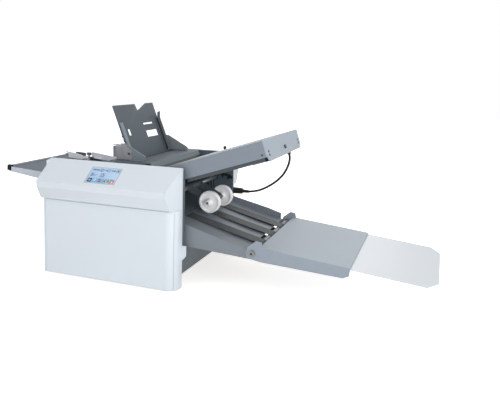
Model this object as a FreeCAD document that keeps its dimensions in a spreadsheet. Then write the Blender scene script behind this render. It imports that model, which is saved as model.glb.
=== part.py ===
"""Desktop paper folding machine, as a parametric assembly in millimetres.

+X is the way the folded paper leaves, +Y points away from the operator, +Z is up.
The origin is on the table, under the middle of the body.
"""
import FreeCAD, Part
import math
import os
import Sketcher

DRIVING = {
    # body
    "body_length": 322.0,
    "body_height": 254.0,
    "side_clearance": 10.0,
    "foot_height": 1.5,
    "foot_radius": 12.0,
    "foot_inset": 22.0,
    "frame_sheet": 3.0,
    "frame_overhang": 3.0,
    "frame_drop": 2.0,
    "pan_sheet": 2.0,
    "pan_length": 253.4,
    "pan_wall_height_below_top": 172.0,
    "bar_radius": 5.0,
    "left_bar_x": -145.0,
    "right_bar_x": 100.0,
    "low_bar_z": 32.0,
    "high_bar_below_top": 92.0,
    "thin_bar_radius": 3.0,
    # side covers
    "cover_depth": 35.0,
    "cover_wall": 3.0,
    "cover_corner": 24.0,
    "left_corner": 4.0,
    "end_slant": 13.5,
    "far_end_slant": 4.0,
    "end_slant_start": 5.0,
    "tab_reach": 9.4,
    "tab_low": 61.0,
    "tab_high": 91.5,
    "seam": 0.6,
    "strip_width": 6.2,
    "hump_bottom_below_top": 86.0,
    "nose_reach": 23.6,
    "nose_top_below_top": 43.4,
    "nose_bottom_below_top": 56.5,
    "undercut_reach": 8.6,
    "undercut_rise": 3.7,
    "slope_rise": 0.769,
    "top_land": 3.0,
    "rib_depth": 20.7,
    "rib_drop": 3.7,
    "rib_height": 11.0,
    "rib_width": 6.0,
    # touchscreen
    "screen_length": 73.0,
    "screen_lift": 8.8,
    "screen_width": 46.5,
    "screen_thick": 2.0,
    "screen_x": -8.3,
    "screen_down": 42.0,
    "screen_ledge": 1.5,
    "module_inset": 2.2,
    "module_thick": 7.0,
    "board_length": 140.0,
    "board_height": 100.0,
    "board_below_top": 104.0,
    "board_sheet": 1.6,
    "post_length": 10.0,
    "post_radius": 3.0,
    "post_inset": 10.0,
    # fold rollers
    "roller_radius": 13.5,
    "roller_gap": 0.4,
    "roller_end_inset": 2.0,
    "journal_radius": 5.0,
    "journal_out": 6.0,
    "gear_width": 8.0,
    "gear_teeth": 27.0,
    "tooth_height": 0.7,
    "tooth_depth": 1.0,
    "bush_radius": 8.0,
    "bush_flange": 10.0,
    "bush_lip": 1.5,
    "running_fit": 0.05,
    "nip_x": 62.0,
    "nip_below_top": 39.3,
    "upper_tilt": 18.4,
    "left_tilt": 3.7,
    "exit_tilt": 15.0,
    # drive
    "motor_x": -92.0,
    "motor_z": 62.0,
    "motor_radius": 30.0,
    "motor_length": 86.0,
    "motor_shaft": 4.0,
    "motor_pulley_radius": 10.0,
    "roller_pulley_radius": 18.0,
    "feed_pulley_radius": 12.0,
    "small_pulley_radius": 8.0,
    "pulley_width": 8.0,
    "pulley_side_gap": 2.0,
    "near_pulley_gap": 2.0,
    "belt_thick": 1.5,
    "belt_clearance": 0.35,
    # hopper
    "hopper_lean": 21.9,
    "hopper_foot_x": 8.5,
    "hopper_sheet": 2.0,
    "back_plate_width": 197.0,
    "back_plate_height": 126.5,
    "notch_depth": 16.5,
    "notch_left": 4.0,
    "notch_bottom": 8.5,
    "notch_right": 59.0,
    "slot_low": 73.7,
    "slot_high": 77.8,
    "slot_left": 14.0,
    "slot_right": 63.0,
    "window_low": 42.4,
    "window_high": 58.0,
    "window_left": 16.0,
    "window_right": 72.5,
    "small_slot_y": -62.0,
    "small_slot_width": 11.0,
    "small_slot_low": 53.0,
    "small_slot_high": 68.0,
    "hopper_top_below_top": -1.0,
    "base_plate_left": -25.0,
    "base_plate_right": 75.0,
    "base_plate_width": 264.0,
    "lip_drop": 15.0,
    "lip_run": 8.4,
    "feed_slot_width": 14.0,
    "feed_slot_length": 222.0,
    "cheek_clearance": 13.5,
    "bracket_reach": 43.5,
    "bracket_height": 36.0,
    "bracket_nose": 10.0,
    "cheek_back": 11.0,
    "cheek_shoulder": 22.0,
    "stay_length": 24.0,
    "stay_lift": 3.5,
    "support_depth": 28.0,
    "support_height": 28.0,
    "guide_spacing": 192.0,
    "guide_depth": 8.5,
    "near_guide_depth": 4.2,
    "guide_height": 85.0,
    "guide_wall": 1.8,
    "guide_leg": 11.0,
    "guide_tab_height": 14.0,
    "guide_knob_inset": 10.5,
    "guide_knob_radius": 3.8,
    "guide_clearance": 0.5,
    # feed and separation
    "feed_radius": 17.0,
    "feed_depth": 20.0,
    "tyre_width": 30.0,
    "tyre_spacing": 70.0,
    "tyre_wall": 5.0,
    "sheet_gap": 0.8,
    "pad_thick": 3.0,
    "pad_length": 18.0,
    "separator_width": 44.0,
    "separator_depth": 8.0,
    "separator_hook": 14.0,
    "infeed_radius": 23.0,
    "infeed_sheet": 1.5,
    "infeed_drop": 34.0,
    # left fold plate
    "left_reach": 375.0,
    "left_start": 20.0,
    "left_width": 244.8,
    "left_top": 6.5,
    "left_sheet": 1.5,
    "left_slot": 1.5,
    "left_flange_end": 5.2,
    "left_flange_mid": 10.4,
    "left_flange_deep": 18.0,
    "left_stop_at": 215.0,
    "left_screw_drop": 9.5,
    "left_slot_start": 70.0,
    "left_slot_end": 320.0,
    "cap_size": 8.0,
    "cap_wrap": 6.0,
    "cap_reach": 6.0,
    "cap_drop": 3.2,
    "left_lip": 3.2,
    "arm_sheet": 2.0,
    "arm_depth": 36.4,
    "clamp_at": 71.5,
    "clamp_radius": 6.4,
    "clamp_height": 7.0,
    "clamp_stem": 2.0,
    # upper fold plate
    "upper_start": 17.0,
    "upper_joint": 278.7,
    "upper_half_height": 17.0,
    "upper_sheet": 2.0,
    "upper_slot": 1.5,
    "end_plate_sheet": 2.5,
    "end_plate_drop": 27.0,
    "end_plate_corner_y": 12.0,
    "end_plate_corner_z": 12.0,
    "end_box_length": 42.0,
    "end_box_inset": 30.0,
    "upper_stop_at": 150.0,
    "upper_screw_rise": 8.5,
    "upper_slot_start": 50.0,
    "upper_slot_end": 240.0,
    "rail_start": 101.0,
    "rail_width": 24.0,
    "rail_height": 7.5,
    "rail_cap": 4.0,
    # stops
    "stop_length": 12.0,
    "stop_half_thick": 0.9,
    "stop_width": 228.0,
    "stop_leg_spacing": 84.0,
    "stop_leg": 5.0,
    "stop_slot": 7.0,
    "stop_bridge": 7.0,
    "screw_radius": 3.0,
    "screw_clearance": 0.4,
    "step_motor_side": 25.0,
    "step_motor_length": 24.0,
    # exit and stacker
    "guide_rise": 4.5,
    "guide_fall": 4.0,
    "exit_guide_start": 21.0,
    "exit_guide_end": 38.0,
    "stacker_bar_x": 118.0,
    "stacker_bar_below_top": 66.0,
    "stacker_x": 176.8,
    "stacker_below_top": 90.0,
    "stacker_radius": 24.5,
    "stacker_hub": 7.0,
    "stacker_wheel_width": 9.0,
    "stacker_spacing": 82.0,
    "stacker_shaft_radius": 3.0,
    "stacker_arm_spacing": 60.0,
    "stacker_arm_sheet": 3.0,
    # conveyor
    "conveyor_width": 284.0,
    "conveyor_sheet": 2.0,
    "bed_left": 104.0,
    "bed_deck_left": 122.0,
    "bed_kink_x": 162.0,
    "bed_kink_below_top": 120.2,
    "bed_mid_x": 262.0,
    "bed_mid_below_top": 147.7,
    "bed_deck_right": 297.0,
    "bed_right_below_top": 155.7,
    "bed_left_below_top": 105.0,
    "bed_low_x": 165.0,
    "bed_low_below_top": 166.9,
    "bed_low_left_below_top": 162.5,
    "bed_end_low_below_top": 176.5,
    "far_rail_start": 150.0,
    "far_rail_low": 11.5,
    "far_rail_high": 15.8,
    "far_rail_end": 14.0,
    "pivot_x": 308.4,
    "pivot_below_top": 163.2,
    "pivot_head_radius": 6.0,
    "pivot_washer_radius": 8.4,
    "pivot_radius": 3.0,
    "pulley_roll_radius": 7.0,
    "drive_roll_x": 110.0,
    "drive_roll_below_top": 114.5,
    "belt_width": 34.0,
    "belt_spacing": 76.0,
    "ear_gap": 0.4,
    "extension_left": 331.0,
    "extension_length": 172.0,
    "extension_tilt": 5.8,
    "extension_top_below_top": 149.5,
    "extension_height": 29.5,
    "extension_end_height": 21.0,
    "extension_chamfer": 11.0,
    "tray_sheet": 1.6,
    "tray_overlap": 42.0,
    "tray_reach": 158.0,
    "tray_corner_x": 19.0,
    "tray_corner_y": 36.0,
    "tray_clearance": 0.5,
    # lever, switch box, small pieces
    "lever_x": 151.0,
    "lever_below_top": 7.0,
    "lever_length": 16.0,
    "lever_lean": 33.0,
    "ball_radius": 4.5,
    "switch_box_reach": 25.0,
    "switch_box_low_below_top": 40.0,
    "switch_box_high_below_top": 7.0,
    "rocker_length": 20.0,
    "rocker_width": 11.0,
    "screw_head_radius": 2.2,
    "screw_head_height": 1.2,
    "screw_edge": 18.0,
    "screw_upper_w": -7.0,
    "screw_lower_w": -14.5,
    "side_screw_back": 7.0,
    # hangers of the two plates and of the conveyor
    "upper_hanger_start": 40.0,
    "upper_hanger_length": 18.0,
    "upper_hanger_height": 16.0,
    "left_hanger_start": 80.0,
    "left_hanger_length": 30.0,
    "left_hanger_height": 14.0,
    "bed_hanger_x": 126.0,
    "bed_hanger_length": 26.0,
    "bed_hanger_rise": 11.0,
    "bed_hanger_height": 18.0,
    # cable
    "cable_radius": 2.75,
    "plug_radius": 6.0,
    "plug_length": 25.0,
    "plug_tail": 16.0,
    "socket_radius": 8.0,
    "cable_socket_out": 13.0,
    "cable_socket_below_top": 101.4,
}

# Sizes that follow others: heights come down from the body's top, widths from the conveyor.
DERIVED = {
    "nip_z": "body_height - nip_below_top",
    "hopper_top": "body_height - hopper_top_below_top",
    "stacker_bar_z": "body_height - stacker_bar_below_top",
    "stacker_z": "body_height - stacker_below_top",
    "bed_kink_z": "body_height - bed_kink_below_top",
    "bed_mid_z": "body_height - bed_mid_below_top",
    "bed_right_z": "body_height - bed_right_below_top",
    "bed_left_z": "body_height - bed_left_below_top",
    "bed_low_z": "body_height - bed_low_below_top",
    "bed_low_left_z": "body_height - bed_low_left_below_top",
    "bed_end_low_z": "body_height - bed_end_low_below_top",
    "pivot_z": "body_height - pivot_below_top",
    "drive_roll_z": "body_height - drive_roll_below_top",
    "extension_top_z": "body_height - extension_top_below_top",
    "lever_z": "body_height - lever_below_top",
    "cable_socket_z": "body_height - cable_socket_below_top",
    "hump_bottom": "body_height - hump_bottom_below_top",
    "nose_top": "body_height - nose_top_below_top",
    "nose_bottom": "body_height - nose_bottom_below_top",
    "switch_box_low": "body_height - switch_box_low_below_top",
    "switch_box_high": "body_height - switch_box_high_below_top",
    "pan_wall_height": "body_height - pan_wall_height_below_top",
    "gap_width": "conveyor_width + 2 * side_clearance + 2 * frame_sheet",
    "upper_width": "conveyor_width",
    "end_box_width": "conveyor_width - 2 * end_box_inset",
    "cable_socket_y": "conveyor_width / 2 + side_clearance + frame_sheet + cable_socket_out",
    "roller_length": "conveyor_width - 2 * roller_end_inset",
    "bracket_gap": "guide_spacing + 2 * cheek_clearance",
}

DOC = FreeCAD.newDocument("paper_folding_machine")
SHEET = DOC.addObject("Spreadsheet::Sheet", "sizes")
NODES = []


class Size:
    """A length or angle: its value now, and the sheet formula that gives it."""

    def __init__(self, value, text):
        self.value = value
        self.text = text

    def __add__(self, other):
        other = as_size(other)
        return Size(self.value + other.value, f"({self.text} + {other.text})")

    def __sub__(self, other):
        other = as_size(other)
        return Size(self.value - other.value, f"({self.text} - {other.text})")

    def __mul__(self, other):
        other = as_size(other)
        return Size(self.value * other.value, f"({self.text} * {other.text})")

    def __truediv__(self, other):
        other = as_size(other)
        return Size(self.value / other.value, f"({self.text} / {other.text})")

    def __neg__(self):
        return Size(-self.value, f"(-1 * {self.text})")

    def __radd__(self, other):
        return as_size(other) + self

    def __rsub__(self, other):
        return as_size(other) - self

    def __rmul__(self, other):
        return as_size(other) * self


def as_size(number):
    if isinstance(number, Size):
        return number
    return Size(float(number), f"({float(number):.9g})")


def sine(angle):
    return Size(math.sin(math.radians(angle.value)), f"sin({angle.text})")


def cosine(angle):
    return Size(math.cos(math.radians(angle.value)), f"cos({angle.text})")


def fill_sheet():
    """Write the driving dimensions to the sheet and return them as Size values."""
    sizes = {}
    for row, (alias, value) in enumerate(DRIVING.items(), start=1):
        SHEET.set(f"A{row}", alias)
        SHEET.set(f"B{row}", repr(value))
        SHEET.setAlias(f"B{row}", alias)
        sizes[alias] = Size(value, f"sizes.{alias}")
    for row, (alias, formula) in enumerate(DERIVED.items(), start=len(DRIVING) + 1):
        SHEET.set(f"A{row}", alias)
        SHEET.set(f"B{row}", "=" + formula)
        SHEET.setAlias(f"B{row}", alias)
        DOC.recompute()
        sizes[alias] = Size(float(SHEET.get(alias)), f"sizes.{alias}")
    return sizes


S = fill_sheet()


# ---------------------------------------------------------------- building helpers

def bind(thing, prop, size):
    thing.setExpression(prop, as_size(size).text)


def place(thing, x=0, y=0, z=0, axis=None, angle=0):
    """Seat a thing at a point, turned about an axis through that point."""
    turn = FreeCAD.Rotation()
    if axis is not None:
        turn = FreeCAD.Rotation(FreeCAD.Vector(*axis), as_size(angle).value)
    spot = FreeCAD.Vector(as_size(x).value, as_size(y).value, as_size(z).value)
    thing.Placement = FreeCAD.Placement(spot, turn)
    bind(thing, "Placement.Base.x", x)
    bind(thing, "Placement.Base.y", y)
    bind(thing, "Placement.Base.z", z)
    if isinstance(angle, Size):
        bind(thing, "Placement.Rotation.Angle", angle)
    return thing


def box(x0, x1, y0, y1, z0, z1):
    thing = DOC.addObject("Part::Box", "block")
    bind(thing, "Length", as_size(x1) - x0)
    bind(thing, "Width", as_size(y1) - y0)
    bind(thing, "Height", as_size(z1) - z0)
    return place(thing, x0, y0, z0)


def rod(radius, start, length, axis):
    """A cylinder of a length from its start point, along x, y or z."""
    thing = DOC.addObject("Part::Cylinder", "rod")
    bind(thing, "Radius", radius)
    bind(thing, "Height", length)
    turns = {"x": ((0, 1, 0), 90), "y": ((1, 0, 0), -90), "z": (None, 0)}
    return place(thing, *start, *turns[axis])


def rod_y(radius, x, z, y0, y1):
    return rod(radius, (x, y0, z), as_size(y1) - y0, "y")


def ball(radius, x, y, z):
    thing = DOC.addObject("Part::Sphere", "ball")
    bind(thing, "Radius", radius)
    return place(thing, x, y, z)


PLANES = {"xz": ("XZ_Plane", -1), "yz": ("YZ_Plane", 1), "xy": ("XY_Plane", 1)}


def prism(plane, points, low, high):
    """A body padded from a closed outline, between two levels across its plane."""
    role, sign = PLANES[plane]
    body = DOC.addObject("PartDesign::Body", "prism")
    sketch = body.newObject("Sketcher::SketchObject", "outline")
    origin_plane = [item for item in body.Origin.OriginFeatures if item.Role == role][0]
    sketch.AttachmentSupport = [(origin_plane, "")]
    sketch.MapMode = "FlatFace"
    low = as_size(low)
    high = as_size(high)
    bind(sketch, "AttachmentOffset.Base.z", (low + high) * (0.5 * sign))
    outline(sketch, [(as_size(a), as_size(b)) for a, b in points])
    pad = body.newObject("PartDesign::Pad", "pad")
    pad.Profile = sketch
    pad.Midplane = True
    bind(pad, "Length", high - low)
    return body


def outline(sketch, points):
    """Draw a closed chain of lines and fix every corner to the sheet."""
    count = len(points)
    for index in range(count):
        a, b = points[index], points[(index + 1) % count]
        start = FreeCAD.Vector(a[0].value, a[1].value, 0)
        end = FreeCAD.Vector(b[0].value, b[1].value, 0)
        sketch.addGeometry(Part.LineSegment(start, end), False)
    for index in range(count):
        follower = (index + 1) % count
        sketch.addConstraint(Sketcher.Constraint("Coincident", index, 2, follower, 1))
    for index, corner in enumerate(points):
        for kind, size in zip(("DistanceX", "DistanceY"), corner):
            rule = Sketcher.Constraint(kind, -1, 1, index, 1, size.value)
            number = sketch.addConstraint(rule)
            sketch.setExpression(f"Constraints[{number}]", size.text)


def cut(base, *tools):
    tool = tools[0] if len(tools) == 1 else fuse(*tools)
    thing = DOC.addObject("Part::Cut", "cut")
    thing.Base = base
    thing.Tool = tool
    return thing


def common(base, tool):
    thing = DOC.addObject("Part::Common", "common")
    thing.Base = base
    thing.Tool = tool
    return thing


def fuse(*parts):
    thing = DOC.addObject("Part::MultiFuse", "fuse")
    thing.Shapes = list(parts)
    thing.Refine = True
    return thing


def group(*parts):
    """Separate solids that share one node."""
    thing = DOC.addObject("Part::Compound", "group")
    thing.Links = list(parts)
    return thing


def rounded(block, *corners):
    """A block with some edges rounded; each corner is a radius and the numbers of its edges."""
    thing = DOC.addObject("Part::Fillet", "rounded")
    thing.Base = block
    rounds = [(as_size(radius).value, edges) for radius, edges in corners]
    thing.Edges = [(edge, radius, radius) for radius, edges in rounds for edge in edges]
    return thing


def shape_node(name, shape):
    """A piece whose outline is a formula, made with Part's own functions."""
    thing = DOC.addObject("Part::Feature", name)
    thing.Shape = shape
    return thing


def seat(thing, x, z, axis, angle):
    """Turn a finished thing, drawn about the origin, into its place in the machine."""
    if thing.TypeId in ("Part::Box", "Part::Cylinder"):
        thing = group(thing)
    return place(thing, x, 0, z, axis, angle)


def across(side, y0, y1):
    """A span of Y, mirrored for the near side."""
    return (y0, y1) if side > 0 else (-as_size(y1), -as_size(y0))


def node(name, thing):
    thing.Label = name
    NODES.append(thing)
    return thing


# ---------------------------------------------------------------- shared places

HALF_LENGTH = S["body_length"] / 2
RIM = S["gap_width"] / 2
FRAME_IN = RIM - S["frame_sheet"]
COVER_OUT = RIM + S["cover_depth"]
FLOOR_GAP = S["foot_height"]
HALF_ROLLER = S["roller_length"] / 2
CENTRES = S["roller_radius"] * 2 + S["roller_gap"]
GEAR_IN = RIM + S["journal_out"] / 2
GEAR_OUT = GEAR_IN + S["gear_width"]
PULLEY_IN = GEAR_OUT + S["pulley_side_gap"]
PULLEY_OUT = PULLEY_IN + S["pulley_width"]
JOURNAL_END = RIM + S["journal_out"]
NEAR_PULLEY_IN = RIM + S["near_pulley_gap"]

ROLLER_1 = (S["nip_x"] - CENTRES / 2 * sine(S["upper_tilt"]),
            S["nip_z"] + CENTRES / 2 * cosine(S["upper_tilt"]))
ROLLER_2 = (S["nip_x"] + CENTRES / 2 * sine(S["upper_tilt"]),
            S["nip_z"] - CENTRES / 2 * cosine(S["upper_tilt"]))
ROLLER_3 = (ROLLER_2[0] - CENTRES * sine(S["left_tilt"]),
            ROLLER_2[1] - CENTRES * cosine(S["left_tilt"]))
ROLLER_4 = (ROLLER_3[0] - CENTRES * sine(S["exit_tilt"]),
            ROLLER_3[1] - CENTRES * cosine(S["exit_tilt"]))
LEFT_NIP = ((ROLLER_2[0] + ROLLER_3[0]) / 2, (ROLLER_2[1] + ROLLER_3[1]) / 2)
EXIT_NIP = ((ROLLER_3[0] + ROLLER_4[0]) / 2, (ROLLER_3[1] + ROLLER_4[1]) / 2)


def down_the_sheet(distance, offset):
    """A point that far down the standing sheet, offset square to it towards the left."""
    lean = S["hopper_lean"]
    x = S["hopper_foot_x"] + distance * sine(lean) - offset * cosine(lean)
    z = S["hopper_top"] - distance * cosine(lean) - offset * sine(lean)
    return x, z


FEED = down_the_sheet(S["feed_depth"], S["feed_radius"] + S["sheet_gap"] / 2)
CONVEYOR_DRIVE = (S["drive_roll_x"], S["drive_roll_z"])
PAPER_SHAFTS = (ROLLER_1, ROLLER_2, ROLLER_3, ROLLER_4, FEED)


def in_upper_plate(thing):
    return seat(thing, S["nip_x"], S["nip_z"], (0, -1, 0), S["upper_tilt"])


def in_left_plate(thing):
    return seat(thing, LEFT_NIP[0], LEFT_NIP[1], (0, 1, 0), S["left_tilt"])


def in_hopper(thing):
    return seat(thing, S["hopper_foot_x"], S["hopper_top"], (0, -1, 0), S["hopper_lean"])


def in_extension(thing):
    return seat(thing, S["extension_left"], S["extension_top_z"], (0, 1, 0), S["extension_tilt"])


# ---------------------------------------------------------------- body

def base_pan():
    half = S["pan_length"] / 2
    sheet = S["pan_sheet"]
    top = S["pan_wall_height"]
    floor_box = box(-half, half, -FRAME_IN, FRAME_IN, FLOOR_GAP, top)
    hollow = box(sheet - half, half - sheet, -FRAME_IN - 1, FRAME_IN + 1, FLOOR_GAP + sheet, top + 1)
    return node("base_pan", cut(floor_box, hollow))


def rubber_feet():
    x = S["pan_length"] / 2 - S["foot_inset"]
    y = FRAME_IN - S["foot_inset"]
    feet = []
    for along, across in ((1, 1), (1, -1), (-1, 1), (-1, -1)):
        feet.append(rod(S["foot_radius"], (x * along, y * across, 0), FLOOR_GAP, "z"))
    return node("rubber_feet", group(*feet))


def side_frame(name, side):
    """A side plate with a bored hole for each shaft that runs in it."""
    inner, outer = FRAME_IN * side, RIM * side
    low, high = (inner, outer) if side > 0 else (outer, inner)
    left = S["cover_wall"] - HALF_LENGTH
    right = HALF_LENGTH + S["frame_overhang"]
    plate = box(left, right, low, high, FLOOR_GAP, S["body_height"] - S["frame_drop"])
    centres = list(PAPER_SHAFTS)
    if side > 0:
        centres += [(S["motor_x"], S["motor_z"]), CONVEYOR_DRIVE]
    bores = [rod_y(S["bush_radius"], x, z, low - 1, high + 1) for x, z in centres]
    notch = box(HALF_LENGTH - 4, right + 9, low - 1, high + 1, FLOOR_GAP - 9, S["tab_low"])
    return node(name, cut(plate, notch, *bores))


def cross_bars():
    radius = S["bar_radius"]
    spots = [
        (S["left_bar_x"], S["low_bar_z"]),
        (S["left_bar_x"], S["body_height"] - S["high_bar_below_top"]),
        (S["right_bar_x"], S["low_bar_z"]),
        (S["stacker_bar_x"], S["stacker_bar_z"]),
    ]
    bars = [rod_y(radius, x, z, -FRAME_IN, FRAME_IN) for x, z in spots]
    thin_bar = rod_y(S["thin_bar_radius"], *separator_pivot(), -FRAME_IN, FRAME_IN)
    return node("cross_bars", group(*bars, thin_bar))


def bush(centre, side, shaft_radius):
    """A flanged sleeve in a side frame's bore, with its flange inside."""
    lip_in = FRAME_IN - S["bush_lip"]
    sleeve = rod_y(S["bush_radius"], *centre, *across(side, FRAME_IN, RIM))
    flange = rod_y(S["bush_flange"], *centre, *across(side, lip_in, FRAME_IN))
    bore = rod_y(shaft_radius + S["running_fit"], *centre, *across(side, lip_in - 9, RIM + 9))
    return cut(fuse(sleeve, flange), bore)


def shaft_bushes():
    bushes = [bush(centre, side, S["journal_radius"]) for centre in PAPER_SHAFTS for side in (1, -1)]
    bushes.append(bush(CONVEYOR_DRIVE, 1, S["pivot_radius"]))
    return node("shaft_bushes", group(*bushes))


# ---------------------------------------------------------------- side covers

def hump_outline(side, wall, inner, low):
    """The console's section across the machine, drawn in by a wall from its outer faces."""
    top = S["body_height"]
    nose = COVER_OUT + S["nose_reach"]
    slope_top = top - S["top_land"] * 0.25
    points = [
        (inner, top - wall * 1.2),
        (RIM + S["top_land"], slope_top - wall * 1.27),
        (nose - wall * 1.05, S["nose_top"] - wall * 0.45),
        (nose - 1.1 - wall, S["nose_bottom"] + wall * 0.2),
        (COVER_OUT + S["undercut_reach"] - wall * 0.8, S["hump_bottom"] + S["undercut_rise"] + wall * 0.5),
        (COVER_OUT - wall, low),
        (inner, low),
    ]
    return [(as_size(y) * side, z) for y, z in points]


def beside_the_end(side, wall):
    """What the hump's right end leaves free by slanting back towards its nose."""
    right = HALF_LENGTH - wall
    start = RIM + S["end_slant_start"]
    nose = COVER_OUT + S["nose_reach"]
    slant = S["end_slant"] if side < 0 else S["far_end_slant"]
    points = [
        (right, start),
        (right - slant, nose),
        (right - slant, nose + 9),
        (right + 9, nose + 9),
        (right + 9, start),
    ]
    return prism("xy", [(x, as_size(y) * side) for x, y in points], -9, S["body_height"] + 9)


def end_rib_outline(side):
    top = S["body_height"]
    points = [
        (RIM, top),
        (RIM + S["rib_depth"], top - S["rib_drop"]),
        (RIM + S["rib_depth"], top - S["rib_drop"] - S["rib_height"] - 2),
        (RIM + 2, top - S["rib_drop"] - 2),
    ]
    return [(y * side, z) for y, z in points]


def lower_shell(side):
    """The body of a side cover below the hump, with round upright corners."""
    wall = S["cover_wall"]
    y0, y1 = (RIM, COVER_OUT) if side > 0 else (-COVER_OUT, -RIM)
    left_edges, right_edges = ([3], [7]) if side > 0 else ([1], [5])
    top = S["hump_bottom"]
    outer = rounded(box(-HALF_LENGTH, HALF_LENGTH, y0, y1, FLOOR_GAP, top),
                    (S["left_corner"], left_edges), (S["cover_corner"], right_edges))
    y0, y1 = (RIM - 5, COVER_OUT - wall) if side > 0 else (wall - COVER_OUT, 5 - RIM)
    hollow = box(wall - HALF_LENGTH, HALF_LENGTH - wall, y0, y1, FLOOR_GAP - 1, top + 1)
    inner = rounded(hollow, (S["left_corner"] - wall, left_edges),
                    (S["cover_corner"] - wall, right_edges))
    return cut(outer, inner)


def panel_window(side, half_width):
    y0, y1 = (RIM - 9, COVER_OUT + 9) if side > 0 else (-COVER_OUT - 9, 9 - RIM)
    return box(-half_width, half_width, y0, y1, -9, S["hump_bottom"] + 9)


def front_panel(name, side):
    seam = S["seam"]
    window = panel_window(side, HALF_LENGTH - S["strip_width"] - seam)
    panel = common(lower_shell(side), window)
    y0, y1 = (RIM - 9, COVER_OUT + 9) if side > 0 else (-COVER_OUT - 9, 9 - RIM)
    top_gap = box(-HALF_LENGTH, HALF_LENGTH, y0, y1, S["hump_bottom"] - seam, S["hump_bottom"] + 9)
    skin = COVER_OUT - S["cover_wall"]
    bosses = [rod_y(4, x, z, *across(side, RIM, skin)) for x in (-130, 130) for z in (25, 110)]
    return node(name, fuse(cut(panel, top_gap), *bosses))


def console_cover(name, side, openings):
    """Hump, end ribs and the two strips that run down to the table beside the front panel."""
    wall = S["cover_wall"]
    low = S["hump_bottom"]
    outer = prism("yz", hump_outline(side, 0, RIM, low), -HALF_LENGTH, HALF_LENGTH)
    inner = prism("yz", hump_outline(side, wall, RIM - 1, low - 1), wall - HALF_LENGTH, HALF_LENGTH - wall)
    hump = cut(cut(outer, beside_the_end(side, 0)), cut(inner, beside_the_end(side, wall)))
    strips = cut(lower_shell(side), panel_window(side, HALF_LENGTH - S["strip_width"]))
    rib = S["rib_width"]
    ends = [prism("yz", end_rib_outline(side), -HALF_LENGTH, rib - HALF_LENGTH)]
    if side < 0:
        ends.append(prism("xz", [
            (HALF_LENGTH - 1, S["tab_low"]),
            (HALF_LENGTH + 2, S["tab_low"]),
            (HALF_LENGTH + S["tab_reach"], S["tab_low"] + 9),
            (HALF_LENGTH + S["tab_reach"], S["tab_high"]),
            (HALF_LENGTH - 1, S["tab_high"]),
        ], -RIM - 2.5, -RIM))
    return node(name, cut(fuse(hump, strips, *ends), *openings))


SLOPE_ANGLE = Size(math.degrees(math.atan(DRIVING["slope_rise"])), "atan(sizes.slope_rise)")
SLOPE_START = (-(COVER_OUT + S["nose_reach"]), S["nose_top"])
SCREEN_UP = S["screen_width"] / 2 + S["screen_lift"]


def on_slope(thing):
    """Seat a thing whose origin is the screen's middle on the console's slope."""
    y = SLOPE_START[0] + SCREEN_UP * cosine(SLOPE_ANGLE)
    z = SLOPE_START[1] + SCREEN_UP * sine(SLOPE_ANGLE)
    return place(thing, S["screen_x"], y, z, (1, 0, 0), SLOPE_ANGLE)


def screen_openings():
    half_x = S["screen_length"] / 2
    half_y = S["screen_width"] / 2
    play = 0.2
    ledge = S["screen_ledge"]
    recess = box(-half_x - play, half_x + play, -half_y - play, half_y + play, -S["screen_thick"], 5)
    through = box(ledge - half_x, half_x - ledge, ledge - half_y, half_y - ledge, -9, 5)
    return [on_slope(fuse(recess, through))]


def touchscreen():
    half_x = S["screen_length"] / 2
    half_y = S["screen_width"] / 2
    inset, back = S["module_inset"], S["screen_thick"]
    module = box(inset - half_x, half_x - inset, inset - half_y, half_y - inset,
                 -back - S["module_thick"], -back)
    glass = box(-half_x, half_x, -half_y, half_y, -S["screen_thick"], 0)
    return node("touchscreen", on_slope(fuse(glass, module)))


def control_board():
    """A board on four posts, on the outside of the near side frame."""
    half = S["board_length"] / 2
    top = S["body_height"] - S["board_below_top"]
    low = top - S["board_height"]
    inset, face = S["post_inset"], -RIM - S["post_length"]
    posts = [rod_y(S["post_radius"], x, z, face, -RIM)
             for x in (inset - half, half - inset) for z in (low + inset, top - inset)]
    board = box(-half, half, face - S["board_sheet"], face, low, top)
    return node("control_board", fuse(board, *posts))


# ---------------------------------------------------------------- rollers and drive

def toothed_disc(centre, y0, y1, phase):
    """A spur gear as wide as the pitch circle of two rollers in contact allows."""
    count = int(DRIVING["gear_teeth"])
    pitch_radius = CENTRES.value / 2
    tip = pitch_radius + DRIVING["tooth_height"]
    root = pitch_radius - DRIVING["tooth_depth"]
    step = 360.0 / count
    points = []
    for tooth in range(count):
        middle = phase + tooth * step
        for radius, share in ((root, -0.29), (tip, -0.12), (tip, 0.12), (root, 0.29)):
            angle = math.radians(middle + share * step)
            x = centre[0].value + radius * math.cos(angle)
            z = centre[1].value + radius * math.sin(angle)
            points.append(FreeCAD.Vector(x, y0.value, z))
    face = Part.Face(Part.makePolygon(points + points[:1]))
    return face.extrude(FreeCAD.Vector(0, (y1 - y0).value, 0))


def gear_phases():
    """Turn each gear so that a gap of it faces a tooth of the one before."""
    step = 360.0 / DRIVING["gear_teeth"]
    phases = [0.0]
    rollers = (ROLLER_1, ROLLER_2, ROLLER_3, ROLLER_4)
    for first, second in zip(rollers, rollers[1:]):
        run = second[0].value - first[0].value
        rise = second[1].value - first[1].value
        towards = math.degrees(math.atan2(rise, run))
        ahead = towards - phases[-1]
        phases.append(towards + 180.0 + ahead - step / 2)
    return phases


def pulley(radius, centre, y0, y1):
    """A flat pulley with a low rim on each side of its belt."""
    drum = rod_y(radius, *centre, y0, y1)
    rims = [rod_y(radius + 1.2, *centre, y0, y0 + 1), rod_y(radius + 1.2, *centre, y1 - 1, y1)]
    return [drum] + rims


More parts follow.
